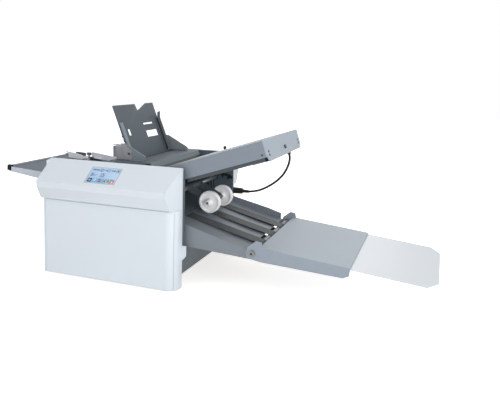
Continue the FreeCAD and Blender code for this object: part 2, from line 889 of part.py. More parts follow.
def fold_roller(number, centre, phase, extras):
    journal = S["journal_radius"]
    solids = [
        rod_y(S["roller_radius"], *centre, -HALF_ROLLER, HALF_ROLLER),
        rod_y(journal, *centre, -JOURNAL_END, GEAR_OUT),
        shape_node("gear", toothed_disc(centre, GEAR_IN, GEAR_OUT, phase)),
    ]
    return node(f"fold_roller_{number}", fuse(*solids, *extras))


def pulley_shaft(centre, radius):
    """The far end of a shaft, past its gear, with a pulley on it."""
    return [rod_y(S["journal_radius"], *centre, GEAR_OUT, PULLEY_OUT)] + pulley(
        radius, centre, PULLEY_IN, PULLEY_OUT)


def near_pulley(centre, radius):
    return pulley(radius, centre, -NEAR_PULLEY_IN - S["pulley_width"], -NEAR_PULLEY_IN)


def fold_rollers():
    phases = gear_phases()
    extras = {
        1: [],
        2: near_pulley(ROLLER_2, S["small_pulley_radius"]) + pulley_shaft(
            ROLLER_2, S["roller_pulley_radius"]),
        3: [],
        4: pulley_shaft(ROLLER_4, S["small_pulley_radius"]),
    }
    rollers = (ROLLER_1, ROLLER_2, ROLLER_3, ROLLER_4)
    for number, (centre, phase) in enumerate(zip(rollers, phases), start=1):
        fold_roller(number, centre, phase, extras[number])


def main_motor():
    centre = (S["motor_x"], S["motor_z"])
    can = rod_y(S["motor_radius"], *centre, FRAME_IN - S["motor_length"], FRAME_IN)
    spigot = rod_y(S["bush_radius"], *centre, FRAME_IN, RIM + 1)
    bore = rod_y(S["motor_shaft"] + S["running_fit"], *centre, FRAME_IN - 20, RIM + 9)
    return node("main_motor", cut(fuse(can, spigot), bore))


def motor_pulley():
    centre = (S["motor_x"], S["motor_z"])
    shaft = rod_y(S["motor_shaft"], *centre, FRAME_IN - 19, PULLEY_OUT)
    wheel = pulley(S["motor_pulley_radius"], centre, PULLEY_IN, PULLEY_OUT)
    return node("motor_pulley", fuse(shaft, *wheel))


def loop_face(first, first_radius, second, second_radius, y):
    """The area inside an open belt's line round two circles."""
    x1, z1 = first[0].value, first[1].value
    x2, z2 = second[0].value, second[1].value
    distance = math.hypot(x2 - x1, z2 - z1)
    heading = math.atan2(z2 - z1, x2 - x1)
    lean = math.acos((first_radius - second_radius) / distance)

    def on_circle(x, z, radius, angle):
        return FreeCAD.Vector(x + radius * math.cos(angle), y, z + radius * math.sin(angle))

    a = on_circle(x1, z1, first_radius, heading + lean)
    b = on_circle(x2, z2, second_radius, heading + lean)
    c = on_circle(x2, z2, second_radius, heading - lean)
    d = on_circle(x1, z1, first_radius, heading - lean)
    far_middle = on_circle(x2, z2, second_radius, heading)
    near_middle = on_circle(x1, z1, first_radius, heading + math.pi)
    edges = [
        Part.LineSegment(a, b).toShape(),
        Part.Arc(b, far_middle, c).toShape(),
        Part.LineSegment(c, d).toShape(),
        Part.Arc(d, near_middle, a).toShape(),
    ]
    return Part.Face(Part.Wire(edges))


def belt_loop(first, first_radius, second, second_radius, y0, y1, thick):
    clear = DRIVING["belt_clearance"]
    y0, y1 = as_size(y0).value, as_size(y1).value
    inside = (as_size(first_radius).value + clear, as_size(second_radius).value + clear)
    outside = (inside[0] + thick, inside[1] + thick)
    span = FreeCAD.Vector(0, y1 - y0, 0)
    outer = loop_face(first, outside[0], second, outside[1], y0).extrude(span)
    inner = loop_face(first, inside[0], second, inside[1], y0).extrude(span)
    return outer.cut(inner)


def drive_belts():
    """Motor to roller 2, roller 4 to the conveyor, and roller 2 to the feed shaft."""
    motor = (S["motor_x"], S["motor_z"])
    conveyor = CONVEYOR_DRIVE
    low, high = PULLEY_IN + 1.5, PULLEY_OUT - 1.5
    near_low, near_high = -NEAR_PULLEY_IN - S["pulley_width"] + 1.5, -NEAR_PULLEY_IN - 1.5
    small = S["small_pulley_radius"]
    thick = DRIVING["belt_thick"]
    loops = [
        belt_loop(motor, S["motor_pulley_radius"], ROLLER_2, S["roller_pulley_radius"], low, high, thick),
        belt_loop(ROLLER_4, small, conveyor, small, low, high, thick),
        belt_loop(ROLLER_2, small, FEED, S["feed_pulley_radius"], near_low, near_high, thick),
    ]
    return node("drive_belts", group(*[shape_node("loop", loop) for loop in loops]))


# ---------------------------------------------------------------- feeding

def feed_shaft():
    journal = S["journal_radius"]
    core = S["feed_radius"] - S["tyre_wall"]
    shaft = rod_y(journal, *FEED, -JOURNAL_END, JOURNAL_END)
    hubs = [rod_y(core, *FEED, y0, y1) for y0, y1 in tyre_spans()]
    return node("feed_shaft", fuse(shaft, *hubs, *near_pulley(FEED, S["feed_pulley_radius"])))


def tyre_spans():
    spans = []
    for side in (1, -1):
        middle = S["tyre_spacing"] / 2 * side
        spans.append((middle - S["tyre_width"] / 2, middle + S["tyre_width"] / 2))
    return spans


def feed_tyres():
    core = S["feed_radius"] - S["tyre_wall"]
    tyres = [cut(rod_y(S["feed_radius"], *FEED, y0, y1), rod_y(core, *FEED, y0 - 1, y1 + 1))
             for y0, y1 in tyre_spans()]
    return node("feed_tyres", group(*tyres))


def separator_pivot():
    back = S["sheet_gap"] + S["pad_thick"] + S["separator_depth"] + 1
    return down_the_sheet(S["feed_depth"] + S["separator_hook"], -back)


def separator_frame(thing):
    x, z = down_the_sheet(S["feed_depth"], -S["sheet_gap"])
    return seat(thing, x, z, (0, -1, 0), S["hopper_lean"])


def separator_pad():
    half = S["separator_width"] / 2
    tall = S["pad_length"] / 2
    return node("separator_pad", separator_frame(box(0, S["pad_thick"], -half, half, -tall, tall)))


def separator_arm():
    """The sprung holder of the pad, hooked over its cross bar."""
    half = S["separator_width"] / 2
    tall = S["pad_length"] / 2
    back = S["pad_thick"]
    deep = back + S["separator_depth"]
    block = box(back, deep, -half, half, -tall, tall)
    hook = (deep + 1, -S["separator_hook"])
    link = box(deep - 4, deep, -half, half, -S["separator_hook"], -tall)
    boss = rod_y(S["thin_bar_radius"] + 2, *hook, -half, half)
    bore = rod_y(S["thin_bar_radius"] + S["running_fit"], *hook, -half - 1, half + 1)
    return node("separator_arm", separator_frame(cut(fuse(block, link, boss), bore)))


def infeed_guide():
    """A curved sheet that turns the fed sheet up into the first nip."""
    radius = S["infeed_radius"]
    sheet = S["infeed_sheet"]
    start_x, start_z = down_the_sheet(S["infeed_drop"], 0)
    lean = S["hopper_lean"]
    x = start_x + (radius - 1) * cosine(lean)
    z = start_z + (radius - 1) * sine(lean)
    outer = rod_y(radius + sheet, x, z, -FRAME_IN, FRAME_IN)
    inner = rod_y(radius, x, z, -FRAME_IN - 1, FRAME_IN + 1)
    far = radius * 2
    keep = prism("xz", [
        (x - 2, z - 2),
        (x - far * cosine(lean), z - far * sine(lean) + 2),
        (x - far, z - far),
        (x + far * sine(S["upper_tilt"]), z - far * cosine(S["upper_tilt"])),
    ], -FRAME_IN, FRAME_IN)
    return common(cut(outer, inner), keep)


# ---------------------------------------------------------------- hopper

def hopper_base():
    """A bent cover sheet with the feed slot at the foot of the back plate."""
    sheet = S["hopper_sheet"]
    left, right, top = S["base_plate_left"], S["base_plate_right"], S["hopper_top"]
    half = S["base_plate_width"] / 2
    lip = [
        (right - sheet, top - sheet),
        (right, top),
        (right + S["lip_run"], top - S["lip_drop"]),
        (right + S["lip_run"] - sheet, top - S["lip_drop"]),
    ]
    deck = box(left, right, -half, half, top - sheet, top)
    leg_low = S["body_height"] - S["frame_drop"]
    near_leg = box(left + 12, right - 12, -FRAME_IN, -half, leg_low - sheet - 2, leg_low - 2)
    far_leg = box(left + 12, right - 12, half, FRAME_IN, leg_low - sheet - 2, leg_low - 2)
    near_riser = box(left + 12, right - 12, -half, sheet - half, leg_low - sheet - 2, top - sheet)
    far_riser = box(left + 12, right - 12, half - sheet, half, leg_low - sheet - 2, top - sheet)
    slot_half = S["feed_slot_length"] / 2
    slot_x = S["hopper_foot_x"]
    slot = box(slot_x + 1, slot_x + 1 + S["feed_slot_width"], -slot_half, slot_half, top - 9, top + 9)
    body = fuse(deck, prism("xz", lip, -half, half), near_leg, far_leg, near_riser, far_riser)
    return node("hopper_base", cut(body, slot))


def hopper_back_plate():
    half = S["back_plate_width"] / 2
    high = S["back_plate_height"]
    outline_points = [
        (-half, 0),
        (half, 0),
        (half, high),
        (S["notch_right"], high),
        (S["notch_bottom"], high - S["notch_depth"]),
        (S["notch_left"], high),
        (-half, high),
    ]
    sheet = S["hopper_sheet"]
    plate = prism("yz", outline_points, -sheet, 0)
    slot = box(-9, 9, S["slot_left"], S["slot_right"], S["slot_low"], S["slot_high"])
    window = box(-9, 9, S["window_left"], S["window_right"], S["window_low"], S["window_high"])
    side = S["small_slot_width"] / 2
    small = box(-9, 9, S["small_slot_y"] - side, S["small_slot_y"] + side,
                S["small_slot_low"], S["small_slot_high"])
    foot = box(-99, 99, -half - 1, half + 1, -9, 0)
    tilted = in_hopper(cut(plate, slot, window, small, foot))
    table = box(-99, 99, -half - 1, half + 1, S["hopper_top"] - 30, S["hopper_top"])
    return node("hopper_back_plate", cut(tilted, table))


def hopper_bracket():
    """Two gusset cheeks in front of the plate, joined by the box that backs it."""
    sheet = S["hopper_sheet"]
    foot, top = S["hopper_foot_x"], S["hopper_top"]
    lean_run = sine(S["hopper_lean"]) / cosine(S["hopper_lean"])
    back = foot - sheet / cosine(S["hopper_lean"])
    high = top + S["support_height"]
    inner = S["bracket_gap"] / 2
    left = foot - S["support_depth"] - 2
    support = prism("xz", [
        (left, top),
        (back, top),
        (back - S["support_height"] * lean_run, high),
        (left - 4, high),
    ], -inner, inner)
    hollow = prism("xz", [
        (left + sheet, top - 1),
        (back - sheet * 1.1, top - 1),
        (back - sheet * 1.1 - (S["support_height"] - sheet) * lean_run, high - sheet),
        (left - 4 + sheet, high - sheet),
    ], sheet - inner, inner - sheet)
    cheek_top = top + S["bracket_height"]
    nose = foot + S["bracket_reach"]
    shoulder = foot - S["bracket_height"] * lean_run
    wing = [
        (back - 6, top),
        (nose, top),
        (nose, top + S["bracket_nose"]),
        (shoulder + 8, cheek_top),
        (shoulder - 4, cheek_top),
    ]
    cheek = [
        (foot + S["cheek_back"], top),
        (nose, top),
        (nose, top + S["bracket_nose"]),
        (shoulder + 12, cheek_top - 4),
        (foot + S["cheek_back"], top + S["cheek_shoulder"]),
    ]
    cheeks = [prism("xz", wing, *across(side, inner, inner + sheet)) for side in (1, -1)]
    cheeks += [prism("xz", cheek, *across(side, inner + sheet, inner + sheet * 2)) for side in (1, -1)]
    stay_z = high + S["stay_lift"]
    cheeks.append(box(shoulder - S["stay_length"], shoulder, *across(-1, inner, inner + sheet),
                      stay_z, stay_z + sheet))
    feet = [box(foot + S["cheek_back"], nose, *across(side, inner + sheet, inner + 12), top, top + sheet)
            for side in (1, -1)]
    return node("hopper_bracket", fuse(cut(support, hollow), *cheeks, *feet))


def side_guide(name, side):
    """An angle that holds one side of the stack; the far one ends in an upright finger tab."""
    clear = S["guide_clearance"]
    wall = S["guide_wall"]
    inner = S["guide_spacing"] / 2 - wall
    high = S["guide_height"]
    low_z = 3
    depth = S["near_guide_depth"] if side < 0 else S["guide_depth"]
    upright = box(clear, depth, *across(side, inner, inner + wall), low_z, high)
    leg = box(clear, clear + wall, *across(side, inner - S["guide_leg"], inner), low_z, high)
    if side < 0:
        return node(name, in_hopper(fuse(upright, leg)))
    rise = S["guide_tab_height"]
    run = rise * sine(S["hopper_lean"]) / cosine(S["hopper_lean"])
    tab = prism("xz", [
        (clear, high - 3),
        (depth, high - 3),
        (depth, high),
        (depth + run, high + rise),
        (clear + run, high + rise),
        (clear, high),
    ], inner, inner + wall)
    return node(name, in_hopper(fuse(upright, leg, tab)))


def guide_thumb_screws():
    """Black knobs behind the plate's near edge and at the far cheek's foot."""
    side = S["guide_knob_inset"] - S["back_plate_width"] / 2
    back = -S["hopper_sheet"]
    high = S["hopper_top"] + S["hopper_sheet"]
    knobs = []
    for v, radius in ((44, S["guide_knob_radius"] - 0.6), (55, S["guide_knob_radius"])):
        head = rod(radius, (back - 5, side, v), 3.5, "x")
        stem = rod(1.5, (back - 2, side, v), 2, "x")
        knobs.append(in_hopper(fuse(head, stem)))
    foot = S["hopper_foot_x"] + S["bracket_reach"] - 3
    y = S["bracket_gap"] / 2 + S["hopper_sheet"] * 2 + 4
    knobs.append(rod(3.5, (foot, y, high), 5, "z"))
    knobs.append(rod_y(2.2, S["hopper_foot_x"] + 3, S["hopper_top"] + 14,
                       *across(-1, S["bracket_gap"] / 2 + S["hopper_sheet"], S["bracket_gap"] / 2 + 5)))
    return node("guide_thumb_screws", group(*knobs))


# ---------------------------------------------------------------- left fold plate

def cap_space(side):
    """The place of a black cap on one of the left plate's outer corners."""
    half = S["left_width"] / 2
    reach = S["left_reach"]
    return box(-reach - S["cap_reach"], S["cap_wrap"] - reach, *across(side, half - S["cap_size"], half),
               -S["cap_drop"], S["left_top"] + S["left_lip"])


def left_plate_cover():
    """The dark top sheet of the left plate with its end lip and its two pale side flanges."""
    start, reach = S["left_start"], S["left_reach"]
    half = S["left_width"] / 2
    sheet = S["left_sheet"]
    top = S["left_top"]
    section = [
        (-start - 12, top),
        (-reach, top),
        (-reach, -S["left_flange_end"]),
        (-reach + 84, -S["left_flange_mid"]),
        (-reach + 200, -S["left_flange_deep"]),
        (-start - 12, -S["left_flange_deep"]),
    ]
    lip = box(-reach, sheet - reach, -half, half, top, top + S["left_lip"])
    solid = fuse(prism("xz", section, -half, half), lip)
    inside = box(-reach + sheet, 0, sheet - half, half - sheet, -S["left_flange_deep"] - 9, top - sheet)
    return node("left_plate_cover", in_left_plate(cut(solid, inside, cap_space(1), cap_space(-1))))


def slot_cutters(start, end, w0, w1):
    """The two slots that a stop's legs run in."""
    wide = S["stop_slot"] / 2
    middle = S["stop_leg_spacing"] / 2
    return [box(start, end, *across(side, middle - wide, middle + wide), w0, w1) for side in (1, -1)]


def screw_bearing(u0, u1, w0, w1, screw_w):
    """A tab on a slotted sheet that holds the plain end of a lead screw."""
    tab = box(u0, u1, -8, 8, w0, w1)
    return cut(tab, rod(S["screw_radius"] + S["running_fit"], (u0 - 9, 0, screw_w), 30, "x"))


def left_plate_sheets():
    """The two sheets that the folded paper runs between, the lower one slotted for the stop."""
    sheet, slot = S["left_sheet"], S["left_slot"]
    half = S["left_width"] / 2 - sheet
    left = S["left_reach"] - sheet
    upper = box(-left, -S["left_start"], -half, half, slot, slot + sheet)
    lower = box(-left, -S["left_start"], -half, half, -slot - sheet, -slot)
    slots = slot_cutters(-S["left_slot_end"], -S["left_slot_start"], -9, 0)
    end = S["left_slot_end"] + 6
    tab = screw_bearing(-end, 4 - end, -S["left_screw_drop"] - 5, -slot - sheet, -S["left_screw_drop"])
    upper = cut(upper, cap_space(1), cap_space(-1))
    lower = cut(lower, *slots, cap_space(1), cap_space(-1))
    return in_left_plate(group(upper, fuse(lower, tab)))


def upper_plate_sheets():
    """The same pair for the upper plate, with its slots and lead screw on the upper side."""
    sheet, slot = S["upper_sheet"] / 2, S["upper_slot"]
    half = S["upper_width"] / 2 - S["upper_sheet"]
    upper = box(S["upper_start"], S["upper_joint"], -half, half, slot, slot + sheet)
    lower = box(S["upper_start"], S["upper_joint"], -half, half, -slot - sheet, -slot)
    slots = slot_cutters(S["upper_slot_start"], S["upper_slot_end"], 0, 9)
    start = S["upper_slot_start"] - 8
    tab = screw_bearing(start, start + 4, slot + sheet, S["upper_screw_rise"] + 5, S["upper_screw_rise"])
    return in_upper_plate(group(fuse(cut(upper, *slots), tab), lower))


def fold_stop(name, at, screw_w, sheet_face, seat):
    """A stop bar in the paper gap, on two legs from a bridge that rides on the lead screw."""
    half_long = S["stop_length"] / 2
    thick = S["stop_half_thick"]
    half = S["stop_width"] / 2
    sign = 1 if as_size(screw_w).value > 0 else -1
    leg = S["stop_leg"] / 2
    bridge = S["stop_bridge"] / 2
    bar = box(at - half_long, at + half_long, -half, half, -thick, thick)
    legs = []
    for side in (1, -1):
        middle = S["stop_leg_spacing"] / 2 * side
        z0, z1 = (0, screw_w) if sign > 0 else (screw_w, 0)
        legs.append(box(at - half_long, at + half_long, middle - leg, middle + leg, z0, z1))
    span = S["stop_leg_spacing"] / 2 + leg
    carrier = box(at - half_long, at + half_long, -span, span, screw_w - bridge, screw_w + bridge)
    bore = rod(S["screw_radius"] + S["screw_clearance"], (at - 20, 0, screw_w), 40, "x")
    return node(name, seat(cut(fuse(bar, *legs, carrier), bore)))


def stop_screw(name, start, end, w, seat):
    screw = rod(S["screw_radius"], (start, 0, w), end - start, "x")
    return node(name, seat(screw))


def stop_motors():
    """The two stepper motors that turn the lead screws."""
    half = S["step_motor_side"] / 2
    deep = S["step_motor_length"]
    play = S["screw_radius"] + S["running_fit"]
    upper_start = S["upper_joint"] - deep
    upper = box(upper_start, S["upper_joint"], -half, half,
                S["upper_slot"] + S["upper_sheet"] / 2, S["upper_half_height"] - S["upper_sheet"])
    upper_bore = rod(play, (upper_start - 1, 0, S["upper_screw_rise"]), 16, "x")
    left_end = -S["left_start"] - 6
    left = box(left_end - deep, left_end, -half, half, -S["left_screw_drop"] - half - 2,
               -S["left_slot"] - S["left_sheet"])
    left_bore = rod(play, (left_end - deep - 1, 0, -S["left_screw_drop"]), 20, "x")
    return node("stop_motors", group(in_upper_plate(cut(upper, upper_bore)),
                                     in_left_plate(cut(left, left_bore))))


def left_plate_arm():
    """A clamp on the far side of the plate: a hooked face plate, a stop behind it and a rail."""
    half = S["left_width"] / 2
    sheet = S["arm_sheet"]
    top = S["left_top"]
    end = -S["left_reach"]
    front = half - S["arm_depth"]
    rail = prism("xz", [
        (end + 76, top),
        (end + 76, top + 17),
        (end + 163, top + 12.5),
        (end + 163, top),
    ], half - sheet, half)
    face = prism("xz", [
        (end + 25, top),
        (end + 22.5, top + 10.5),
        (end + 15.7, top + 14.1),
        (end + 14.6, top + 16.4),
        (end + 27, top + 14.7),
        (end + 46, top + 14.3),
        (end + 59, top + 11.8),
        (end + 72, top + 8.9),
        (end + 84, top + 7.5),
        (end + 84, top + 5.3),
        (end + 67, top),
    ], front, front + sheet)
    stop = prism("xz", [
        (end + 32, top),
        (end + 32, top + 13.8),
        (end + 64, top + 14.4),
        (end + 64, top),
    ], half - 14.4, half - 12.4)
    pad = box(end + 26, end + 84, front, half - 4, top, top + 4.8)
    u = end + S["clamp_at"]
    hole = rod(S["clamp_stem"] + S["running_fit"], (u, half - 9, top + 1), 9, "z")
    notch = box(end + 66, end + 90, front - 1, front + sheet + 0.6, top - 1, top + 5.3)
    strip = box(end + 26, end + 107, half - 9, half, top, top + 1)
    return node("left_plate_arm", in_left_plate(fuse(rail, face, stop, cut(pad, notch, hole), strip)))


def clamp_knob():
    """A turned knob whose stem stands in the clamp's pad."""
    half = S["left_width"] / 2
    base = S["left_top"] + 1.4
    u = S["clamp_at"] - S["left_reach"]
    stem = rod(S["clamp_stem"], (u, half - 9, base), 8, "z")
    head = rod(S["clamp_radius"], (u, half - 9, base + 7.4), S["clamp_height"], "z")
    return node("clamp_knob", in_left_plate(fuse(stem, head)))


# ---------------------------------------------------------------- upper fold plate

def upper_plate_channel():
    """Side panels and top sheet of the upper plate, with a box rail under each side."""
    half = S["upper_width"] / 2
    sheet = S["upper_sheet"]
    tall = S["upper_half_height"]
    start, end = S["upper_start"], S["upper_joint"]
    outer = box(start, end, -half, half, -tall, tall)
    inside = box(start - 1, end + 1, sheet - half, half - sheet, -tall - 1, tall - sheet)
    rails = []
    for side in (1, -1):
        y0, y1 = (half - S["rail_width"], half - 1) if side > 0 else (1 - half, S["rail_width"] - half)
        rails.append(box(S["rail_start"], end - S["rail_cap"], y0, y1, -tall - S["rail_height"], -tall))
        rails.append(box(S["rail_start"], end - S["rail_cap"], y0, y1, -tall, -tall + 1.5))
    channel = cut(outer, inside)
    return node("upper_plate_channel", in_upper_plate(fuse(channel, *rails)))


def upper_plate_end_box():
    """The plate's end face with clipped lower corners, and a cable box under the channel."""
    tall = S["upper_half_height"]
    half = S["upper_width"] / 2
    sheet = S["upper_sheet"]
    joint = S["upper_joint"]
    low = -S["end_plate_drop"]
    corner_y = half - S["end_plate_corner_y"]
    corner_z = low + S["end_plate_corner_z"]
    face = prism("yz", [
        (-half, tall),
        (-half, corner_z),
        (-corner_y, low),
        (corner_y, low),
        (half, corner_z),
        (half, tall),
    ], joint, joint + S["end_plate_sheet"])
    wide = S["end_box_width"] / 2
    start = joint - S["end_box_length"]
    shell = box(start, joint, -wide, wide, low, -tall)
    hollow = box(start + sheet, joint + 1, sheet - wide, wide - sheet, low + sheet, -tall + 1)
    rims = [box(start, joint, *across(side, wide - sheet, half - S["rail_width"]), -tall, 1.5 - tall)
            for side in (1, -1)]
    solid = in_upper_plate(fuse(face, cut(shell, hollow), *rims))
    return node("upper_plate_end_box", cut(solid, cable_hole()))


def plate_hangers():
    """Blocks that carry the two fold plates and the conveyor between the side frames."""
    upper_start, left_start = S["upper_hanger_start"], S["left_hanger_start"]
    upper_rise = S["upper_hanger_height"] / 2
    bed_x = S["bed_hanger_x"]
    bed_z = S["bed_low_z"] + S["bed_hanger_rise"]
    hangers = []
    for side in (1, -1):
        y0, y1 = across(side, S["upper_width"] / 2, FRAME_IN)
        upper = box(upper_start, upper_start + S["upper_hanger_length"], y0, y1, -upper_rise, upper_rise)
        hangers.append(in_upper_plate(upper))
        y0, y1 = across(side, S["left_width"] / 2, FRAME_IN)
        left = box(-left_start - S["left_hanger_length"], -left_start, y0, y1, -S["left_hanger_height"], 0)
        hangers.append(in_left_plate(left))
        y0, y1 = across(side, S["conveyor_width"] / 2, FRAME_IN)
        hangers.append(box(bed_x, bed_x + S["bed_hanger_length"], y0, y1,
                           bed_z, bed_z + S["bed_hanger_height"]))
    return node("plate_hangers", group(*hangers))


def corner_caps():
    """Black caps on the left plate's outer corners and on the ends of the upper plate's rails."""
    half_upper = S["upper_width"] / 2
    joint = S["upper_joint"]
    tall = S["upper_half_height"]
    caps = []
    for side in (1, -1):
        caps.append(in_left_plate(cap_space(side)))
        y0, y1 = across(side, half_upper - S["rail_width"], half_upper - 1)
        rail_end = box(joint - S["rail_cap"], joint, y0, y1, -tall - S["rail_height"] - 0.6, -tall)
        caps.append(in_upper_plate(rail_end))
    return node("corner_caps", group(*caps))


def release_lever():
    """A leaning lever with a ball on top, pinned to the far side frame."""
    y0 = FRAME_IN - 4
    reach = S["lever_length"]
    hub = rod_y(5, 0, 0, y0, FRAME_IN - 0.4)
    stem = rod(1.4, (0, y0 + 2, 3), reach, "z")
    knob = ball(S["ball_radius"], 0, y0 + 2, reach + 3)
    lever = fuse(hub, stem, knob)
    return node("release_lever", seat(lever, S["lever_x"], S["lever_z"], (0, -1, 0), S["lever_lean"]))


# ---------------------------------------------------------------- exit and stacker

def exit_guides():
    """Two slanting sheets between the last nip and the conveyor."""
    start, end = S["exit_guide_start"], S["exit_guide_end"]
    sheet = 1.5
    rise, fall = S["guide_rise"], S["guide_fall"]
    upper = box(start, end + 50, -HALF_ROLLER, HALF_ROLLER, rise, rise + sheet)
    lower = box(start - 3, end - 4, -HALF_ROLLER, HALF_ROLLER, -fall - sheet, -fall)
    tabs = []
    for side in (1, -1):
        reach = across(side, HALF_ROLLER, FRAME_IN)
        tabs.append(box(start + 4, start + 14, *reach, rise, rise + sheet))
        tabs.append(box(start - 3, start + 9, *reach, -fall - sheet, -fall))
    pair = group(fuse(upper, tabs[0], tabs[2]), fuse(lower, tabs[1], tabs[3]))
    return seat(pair, EXIT_NIP[0], EXIT_NIP[1], (0, 1, 0), S["exit_tilt"])


def stacker_arm():
    """Two flat arms on a tube round the stacker bar."""
    sheet = S["stacker_arm_sheet"]
    half = S["stacker_arm_spacing"] / 2
    bx, bz = S["stacker_bar_x"], S["stacker_bar_z"]
    wx, wz = S["stacker_x"], S["stacker_z"]
    tube = rod_y(7.5, bx, bz, -half, half)
    plates = []
    for side in (1, -1):
        y0, y1 = (half - sheet, half) if side > 0 else (-half, sheet - half)
        plates.append(prism("xz", [
            (bx - 2, bz + 7),
            (bx - 2, bz - 7),
            (wx + 1, wz - 6),
            (wx + 6, wz),
            (wx + 1, wz + 6),
            (bx + 10, bz + 7),
        ], y0, y1))
    bore = rod_y(S["bar_radius"] + S["running_fit"], bx, bz, -half - 1, half + 1)
    eye = rod_y(S["stacker_shaft_radius"], wx, wz, -half - 1, half + 1)
    return node("stacker_arm", cut(fuse(tube, *plates), bore, eye))


def stacker_shaft():
    """The wheels' shaft, with a collar on each side of each wheel."""
    wide = S["stacker_wheel_width"] / 2
    middle = S["stacker_spacing"] / 2
    reach = middle + wide + 3
    x, z = S["stacker_x"], S["stacker_z"]
    solids = [rod_y(S["stacker_shaft_radius"], x, z, -reach, reach)]
    for side in (1, -1):
        for y0, y1 in ((middle + wide + 0.4, reach), (middle - wide - 3, middle - wide - 0.4)):
            solids.append(rod_y(S["stacker_shaft_radius"] + 2, x, z, *across(side, y0, y1)))
    return node("stacker_shaft", fuse(*solids))


def stacker_wheels():
    """Two soft wheels with a raised hub and a dished face."""
    x, z = S["stacker_x"], S["stacker_z"]
    wide = S["stacker_wheel_width"] / 2
    wheels = []
    for side in (1, -1):
        middle = S["stacker_spacing"] / 2 * side
        disc = rod_y(S["stacker_radius"], x, z, middle - wide, middle + wide)
        dish = cut(rod_y(S["stacker_radius"] - 4, x, z, middle - wide - 1, middle - wide + 2.5),
                   rod_y(S["stacker_hub"], x, z, middle - wide - 2, middle - wide + 4))
        bore = rod_y(S["stacker_shaft_radius"] + S["running_fit"], x, z, middle - wide - 3, middle + wide + 3)
        wheels.append(cut(disc, dish, bore))
    return node("stacker_wheels", group(*wheels))


# ---------------------------------------------------------------- conveyor

def conveyor_bed():
    """A deck sheet between two upright flanges that carry the belt rollers, with a far rail."""
    sheet = S["conveyor_sheet"]
    half = S["conveyor_width"] / 2
    px, pz = S["pivot_x"], S["pivot_z"]
    flange = [
        (S["bed_left"], S["bed_left_z"]),
        (S["bed_kink_x"], S["bed_kink_z"]),
        (S["bed_mid_x"], S["bed_mid_z"]),
        (S["bed_deck_right"], S["bed_right_z"]),
        (px + 8, pz + 5),
        (px + 9, pz - 7),
        (px + 3, S["bed_end_low_z"]),
        (S["bed_low_x"], S["bed_low_z"]),
        (S["bed_left"], S["bed_low_left_z"]),
    ]
    left_top = S["bed_kink_z"] + (S["bed_left_z"] - S["bed_kink_z"]) * (
        (S["bed_kink_x"] - S["bed_deck_left"]) / (S["bed_kink_x"] - S["bed_left"])) - S["belt_clearance"] * 2
    deck = [
        (S["bed_deck_left"], left_top),
        (S["bed_kink_x"], S["bed_kink_z"]),
        (S["bed_mid_x"], S["bed_mid_z"]),
        (S["bed_deck_right"], S["bed_right_z"]),
        (S["bed_deck_right"], S["bed_right_z"] - sheet),
        (S["bed_mid_x"], S["bed_mid_z"] - sheet),
        (S["bed_kink_x"], S["bed_kink_z"] - sheet),
        (S["bed_deck_left"], left_top - sheet),
    ]
    rail_end = S["bed_deck_right"] - 3
    rail = [
        (S["far_rail_start"], S["bed_kink_z"] - sheet),
        (S["far_rail_start"], S["bed_kink_z"] + S["far_rail_low"] + 3),
        (S["bed_kink_x"], S["bed_kink_z"] + S["far_rail_low"]),
        (S["bed_mid_x"], S["bed_mid_z"] + S["far_rail_high"]),
        (rail_end, S["bed_right_z"] + S["far_rail_end"]),
        (rail_end, S["bed_right_z"] - sheet),
        (S["bed_mid_x"], S["bed_mid_z"] - sheet),
    ]
    sides = [prism("xz", flange, half - sheet, half), prism("xz", flange, -half, sheet - half)]
    sides.append(prism("xz", rail, half - sheet, half))
    fit = S["running_fit"]
    bores = [
        rod_y(S["pivot_radius"], px, pz, -half - 1, half + 1),
        rod_y(S["pivot_radius"] + fit, *CONVEYOR_DRIVE, -half - 1, half + 1),
    ]
    body = fuse(prism("xz", deck, sheet - half, half - sheet), *sides)
    return node("conveyor_bed", cut(body, *bores))


def conveyor_belts():
    first = (S["drive_roll_x"], S["drive_roll_z"])
    second = (S["pivot_x"], S["pivot_z"])
    roll = S["pulley_roll_radius"]
    loops = []
    for step in (-1, 0, 1):
        middle = S["belt_spacing"] * step
        wide = S["belt_width"] / 2
        belt = belt_loop(first, roll, second, roll, middle - wide, middle + wide, 1.2)
        loops.append(shape_node("loop", belt))
    return node("conveyor_belts", group(*loops))


def conveyor_drive_roller():
    x, z = S["drive_roll_x"], S["drive_roll_z"]
    inner = S["conveyor_width"] / 2 - S["conveyor_sheet"] - 0.5
    drum = rod_y(S["pulley_roll_radius"], x, z, -inner, inner)
    pin = rod_y(S["pivot_radius"], x, z, -inner - S["conveyor_sheet"] - 1, PULLEY_OUT)
    return node("conveyor_drive_roller", fuse(
        drum, pin, *pulley(S["small_pulley_radius"], (x, z), PULLEY_IN, PULLEY_OUT)))


def conveyor_idle_roller():
    """A tube that turns on the two pivot screws."""
    inner = S["conveyor_width"] / 2 - S["conveyor_sheet"] - 0.5
    x, z = S["pivot_x"], S["pivot_z"]
    tube = rod_y(S["pulley_roll_radius"], x, z, -inner, inner)
    bore = rod_y(S["pivot_radius"] + S["running_fit"] * 2, x, z, -inner - 1, inner + 1)
    return node("conveyor_idle_roller", cut(tube, bore))


